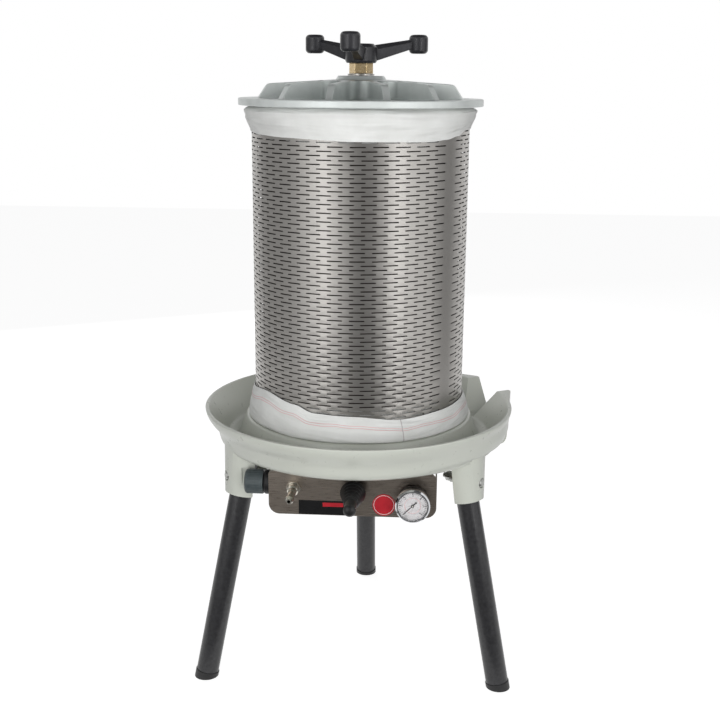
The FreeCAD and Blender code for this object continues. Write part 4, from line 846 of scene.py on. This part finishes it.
def buildTray():
    bowl = spun("trayCasting", tray["outside"], tray["turns"])
    roundRings(bowl, tray["outsideRounds"])
    swellTowardsSpout(bowl)

    # spout: its sides leave the wall without a step and end in a flat lip
    reach, half, touch = tray["spoutReach"], tray["spoutHalf"], tray["touchRadius"]
    angle = math.atan(half / reach) + math.acos(touch / math.hypot(reach, half))
    along, across = touch * math.cos(angle), touch * math.sin(angle)
    spout = prism([(along - 20, -across + 12), (along, -across), (reach, -half), (reach, half), (along, across), (along - 20, across - 12)],
                  tray["spoutBottom"], 411, Matrix())
    deselectAll()
    spout.select_set(True)
    bpy.context.view_layer.objects.active = spout
    bpy.ops.object.mode_set(mode="EDIT")
    bpy.ops.mesh.select_mode(type="EDGE")
    bpy.ops.mesh.select_all(action="DESELECT")
    mesh = bmesh.from_edit_mesh(spout.data)
    for edge in mesh.edges:
        low = all(vertex.co.z < 0.36 for vertex in edge.verts)
        edge.select = low and min(vertex.co.x for vertex in edge.verts) > (along - 1) / 1000
    bmesh.update_edit_mesh(spout.data)
    bpy.ops.mesh.bevel(offset=0.013, segments=6, affect="EDGES")
    bpy.ops.object.mode_set(mode="OBJECT")
    spout.data.transform(turnZ(tray["spoutAzimuth"]))

    # sockets: tapered, open towards the press axis below the bowl, each with a bore and a seat for its bolt
    sockets, bores = [], []
    for azimuth in tray["legs"]:
        stand = turnZ(azimuth) @ place(tray["legSpread"], 0, 0) @ Matrix.Rotation(math.radians(-tray["legLean"]), 4, "Y")
        cone = rod(tray["socketRadius"], tray["socketHeight"], stand @ place(0, 0, tray["socketMouth"]), 72, tray["socketTop"])
        face = tray["socketFace"]
        opening = prism([(face - 75, -80), (face, -80), (face, 80), (face - 75, 80)], 200, 356, turnZ(azimuth))
        combine(cone, opening, "DIFFERENCE")
        bpy.data.objects.remove(opening)
        sockets.append(cone)
        bores.append(rod(17.2, 66, stand @ place(0, 0, tray["socketMouth"] - 5)))
        bolt = turnZ(azimuth) @ place(tray["boltPlace"][0], 0, tray["boltPlace"][1]) @ Matrix.Rotation(math.radians(90), 4, "Y")
        bores.append(rod(8, 30, bolt))
    bosses = [rod(8, 40, place(x, -141, 353.5)) for x in (-83, 87)]
    hollow = spun("trayHollow", tray["inside"], tray["turns"])
    roundRings(hollow, tray["insideRounds"])
    knobRoom = rod(20.5, 44, place(-165, -141, 326) @ Matrix.Rotation(math.radians(90), 4, "Y"))
    mouth = tray["mouth"] + [(-y, z) for y, z in reversed(tray["mouth"])]
    outwards = turnZ(tray["spoutAzimuth"]) @ Matrix(((0, 0, 1, 0), (1, 0, 0, 0), (0, 1, 0, 0), (0, 0, 0, 1)))
    notch = prism(mouth, 199, 280, outwards)
    for added in [spout] + sockets + bosses:
        combine(bowl, added, "UNION")
        bpy.data.objects.remove(added)
    for cutter in [hollow, knobRoom, notch] + bores:
        combine(bowl, cutter, "DIFFERENCE")
        bpy.data.objects.remove(cutter)

    deselectAll()
    bowl.select_set(True)
    bpy.context.view_layer.objects.active = bowl
    bpy.ops.object.mode_set(mode="EDIT")
    bpy.ops.mesh.select_all(action="SELECT")
    bpy.ops.mesh.remove_doubles(threshold=0.00002)
    bpy.ops.object.mode_set(mode="OBJECT")
    bpy.ops.object.shade_smooth_by_angle(angle=math.radians(38))
    mesh = bmesh.new()
    mesh.from_mesh(bowl.data)
    print("tray casting: open edges", sum(1 for edge in mesh.edges if len(edge.link_faces) != 2))
    mesh.free()
    return bowl


trayCasting = buildTray()
finishPiece(trayCasting, materials["grey_enamel"], "stand", "grey_enamel", "tray")
print("tray casting:", len(trayCasting.data.polygons), "faces")


# gauge print, and the plain plate and round label stuck on the panel
gauge = {
    "numbers": (0, 6),
    "firstAngle": 225,
    "step": 45,
    "finePerStep": 5,
    "tickRadius": 0.0198,
    "numberRadius": 0.0152,
    "numberHeight": 0.0052,
    "innerRadius": 0.0116,
    "printDepth": 0.0001,
}
labels = {
    "plateMiddle": (-0.042, 0.2955),
    "plateSize": (0.068, 0.0215),
    "bandMiddle": (-0.026, 0.3005),
    "bandSize": (0.030, 0.0062),
    "discMiddle": (0.0480, 0.3025),
    "discRadius": 0.0165,
    "vinyl": 0.0005,
}


def softBox(middle, size, rounding, segments=2):
    deselectAll()
    bpy.ops.mesh.primitive_cube_add(size=1, location=middle)
    piece = bpy.context.object
    piece.scale = size
    bpy.ops.object.transform_apply(location=True, rotation=True, scale=True)
    bpy.ops.object.mode_set(mode="EDIT")
    bpy.ops.mesh.select_all(action="SELECT")
    bpy.ops.mesh.bevel(offset=rounding, segments=segments, affect="EDGES")
    bpy.ops.object.mode_set(mode="OBJECT")
    return piece


def copyOf(piece, matrix):
    other = piece.copy()
    other.data = piece.data.copy()
    other.data.transform(matrix)
    bpy.context.collection.objects.link(other)
    return other


def joined(pieces, name):
    deselectAll()
    for piece in pieces:
        piece.select_set(True)
    bpy.context.view_layer.objects.active = pieces[0]
    bpy.ops.object.join()
    pieces[0].name = name
    return pieces[0]


def flatRing(middle, radius, width, depth):
    deselectAll()
    bpy.ops.mesh.primitive_torus_add(major_radius=radius, minor_radius=width / 2, major_segments=72, minor_segments=8,
                                     location=middle, rotation=(math.pi / 2, 0, 0))
    ring = bpy.context.object
    bpy.ops.object.transform_apply(location=True, rotation=True, scale=True)
    bpy.ops.object.mode_set(mode="EDIT")
    bpy.ops.mesh.select_all(action="SELECT")
    bpy.ops.transform.resize(value=(1, depth / width, 1), center_override=middle)
    bpy.ops.object.mode_set(mode="OBJECT")
    bpy.ops.object.shade_smooth()
    return ring


def buildDialPrint():
    low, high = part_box("gauge_dial")
    centre = Vector(((low[0] + high[0]) / 2, low[1], (low[2] + high[2]) / 2))
    first, last = gauge["numbers"]
    ticks, figures, inner = [], [], []
    toCentre = Matrix.Translation(centre)
    for size, count, store, radius in (((0.0034, gauge["printDepth"], 0.0011), last - first, ticks, gauge["tickRadius"]),
                                       ((0.0022, gauge["printDepth"], 0.0005), (last - first) * gauge["finePerStep"], ticks, gauge["tickRadius"]),
                                       ((0.0014, gauge["printDepth"], 0.00035), (last - first) * 2, inner, gauge["innerRadius"])):
        tick = softBox((radius - size[0] / 2, 0, 0), size, gauge["printDepth"] / 3, 1)
        for step in range(count + 1):
            angle = gauge["firstAngle"] - gauge["step"] * (last - first) * step / count
            store.append(copyOf(tick, toCentre @ Matrix.Rotation(math.radians(-angle), 4, "Y")))
        bpy.data.objects.remove(tick)
    for number in range(first, last + 1):
        angle = math.radians(gauge["firstAngle"] - gauge["step"] * (number - first))
        deselectAll()
        bpy.ops.object.text_add(rotation=(math.pi / 2, 0, 0))
        figure = bpy.context.object
        figure.data.body = str(number)
        figure.data.size = gauge["numberHeight"]
        figure.data.extrude = gauge["printDepth"] / 2
        figure.data.align_x = "CENTER"
        figure.data.align_y = "CENTER"
        figure.location = centre + gauge["numberRadius"] * Vector((math.cos(angle), 0, math.sin(angle)))
        bpy.ops.object.convert(target="MESH")
        bpy.ops.object.transform_apply(location=True, rotation=True, scale=True)
        figures.append(bpy.context.object)
    inner.append(flatRing(centre, gauge["innerRadius"], 0.0004, gauge["printDepth"]))
    return joined(ticks + figures, "dialPrint"), joined(inner, "dialInnerScale")


def buildLabels():
    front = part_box("panel")[0][1]
    thick = labels["vinyl"]
    x, z = labels["plateMiddle"]
    wide, high = labels["plateSize"]
    plate = softBox((x, front - thick / 2, z), (wide, thick, high), thick / 3)
    plate.name = "blankPlate"
    x, z = labels["bandMiddle"]
    wide, high = labels["bandSize"]
    band = softBox((x, front - thick * 1.2, z), (wide, thick * 0.8, high), thick / 4)
    band.name = "plateBand"
    x, z = labels["discMiddle"]
    deselectAll()
    bpy.ops.mesh.primitive_cylinder_add(vertices=64, radius=labels["discRadius"], depth=thick,
                                        location=(x, front - thick / 2, z), rotation=(math.pi / 2, 0, 0))
    disc = bpy.context.object
    disc.name = "roundLabel"
    bpy.ops.object.transform_apply(location=True, rotation=True, scale=True)
    bpy.ops.object.mode_set(mode="EDIT")
    bpy.ops.mesh.select_all(action="SELECT")
    bpy.ops.mesh.bevel(offset=thick / 3, segments=2, affect="EDGES")
    bpy.ops.object.mode_set(mode="OBJECT")
    ring = flatRing((x, front - thick, z), labels["discRadius"] * 0.88, 0.0007, 0.0002)
    ring.name = "roundLabelRing"
    return plate, band, disc, ring


# Screen-printed ink: dense black, and a faded red-brown for the second scale
blackInk, tree, shader = newMaterial("printedBlackInk", "#0E0E0F", 0.5)
mottle(tree, shader, objectSpace(tree), 2, "#0B0B0C", "#151516")
redInk, tree, shader = newMaterial("printedRedInk", "#C77F80", 0.5)
mottle(tree, shader, objectSpace(tree), 2, "#C07779", "#D08C8C")

# Label vinyl: glossy film, evenly coloured
blackVinyl, tree, shader = newMaterial("blackVinylFilm", "#101011", 0.22)
mottle(tree, shader, objectSpace(tree), 15, "#0D0D0E", "#151516")
redVinyl, tree, shader = newMaterial("redVinylFilm", "#AE1F2B", 0.25)
mottle(tree, shader, objectSpace(tree), 12, "#A81C28", "#B6242F")
whiteVinyl, tree, shader = newMaterial("whiteVinylFilm", "#DAD4D2", 0.3)
mottle(tree, shader, objectSpace(tree), 12, "#D5CFCD", "#DFDAD8")

dialPrint, dialInner = buildDialPrint()
finishPiece(dialPrint, blackInk, "stand", "black_plastic")
finishPiece(dialInner, redInk, "stand", "black_plastic")
plate, band, disc, ring = buildLabels()
for piece, film in ((plate, blackVinyl), (band, redVinyl), (disc, redVinyl), (ring, whiteVinyl)):
    finishPiece(piece, film, "stand", "black_plastic")

# Rolled trapezoidal thread on the post: 4 mm pitch, a painted highlight on the crests and a painted shade in the roots
threadSteel, tree, shader = newMaterial("rolledThread", "#A3A29E", 0.32, 1.0)
space = objectSpace(tree)
turns = addNode(tree, "ShaderNodeTexWave", {"Vector": space, "Scale": 1000 / 4 / 10 * math.pi}, bands_direction="Z")
ramp = addNode(tree, "ShaderNodeValToRGB", {"Fac": turns.outputs["Fac"]})
# painted shade in the thread's roots
ramp.color_ramp.elements[0].color = linearColour("#5E5C58")
# painted highlight on the thread's crests
ramp.color_ramp.elements[1].color = linearColour("#B2B1AD")
tree.links.new(ramp.outputs["Color"], shader.inputs["Base Color"])
bump = addNode(tree, "ShaderNodeBump", {"Height": turns.outputs["Fac"], "Distance": 0.0012, "Strength": 1.0})
tree.links.new(bump.outputs[0], shader.inputs["Normal"])
nodes["center_post"].data.materials.clear()
nodes["center_post"].data.materials.append(threadSteel)

# Panel: the same sheet ground lengthways, its browner colour a painted reflection of the dim room in front
panelSteel, tree, shader = newMaterial("brushedPanelSteel", "#AEA398", 0.3, 1.0)
space = objectSpace(tree, (0.04, 1, 1))
mottle(tree, shader, space, 1.0, "#A2978C", "#BAAFA4", 2.0)
roughened(tree, shader, space, 1.0, 0.24, 0.38)
nodes["panel"].data.materials.clear()
nodes["panel"].data.materials.append(panelSteel)
print("gauge print and labels made")
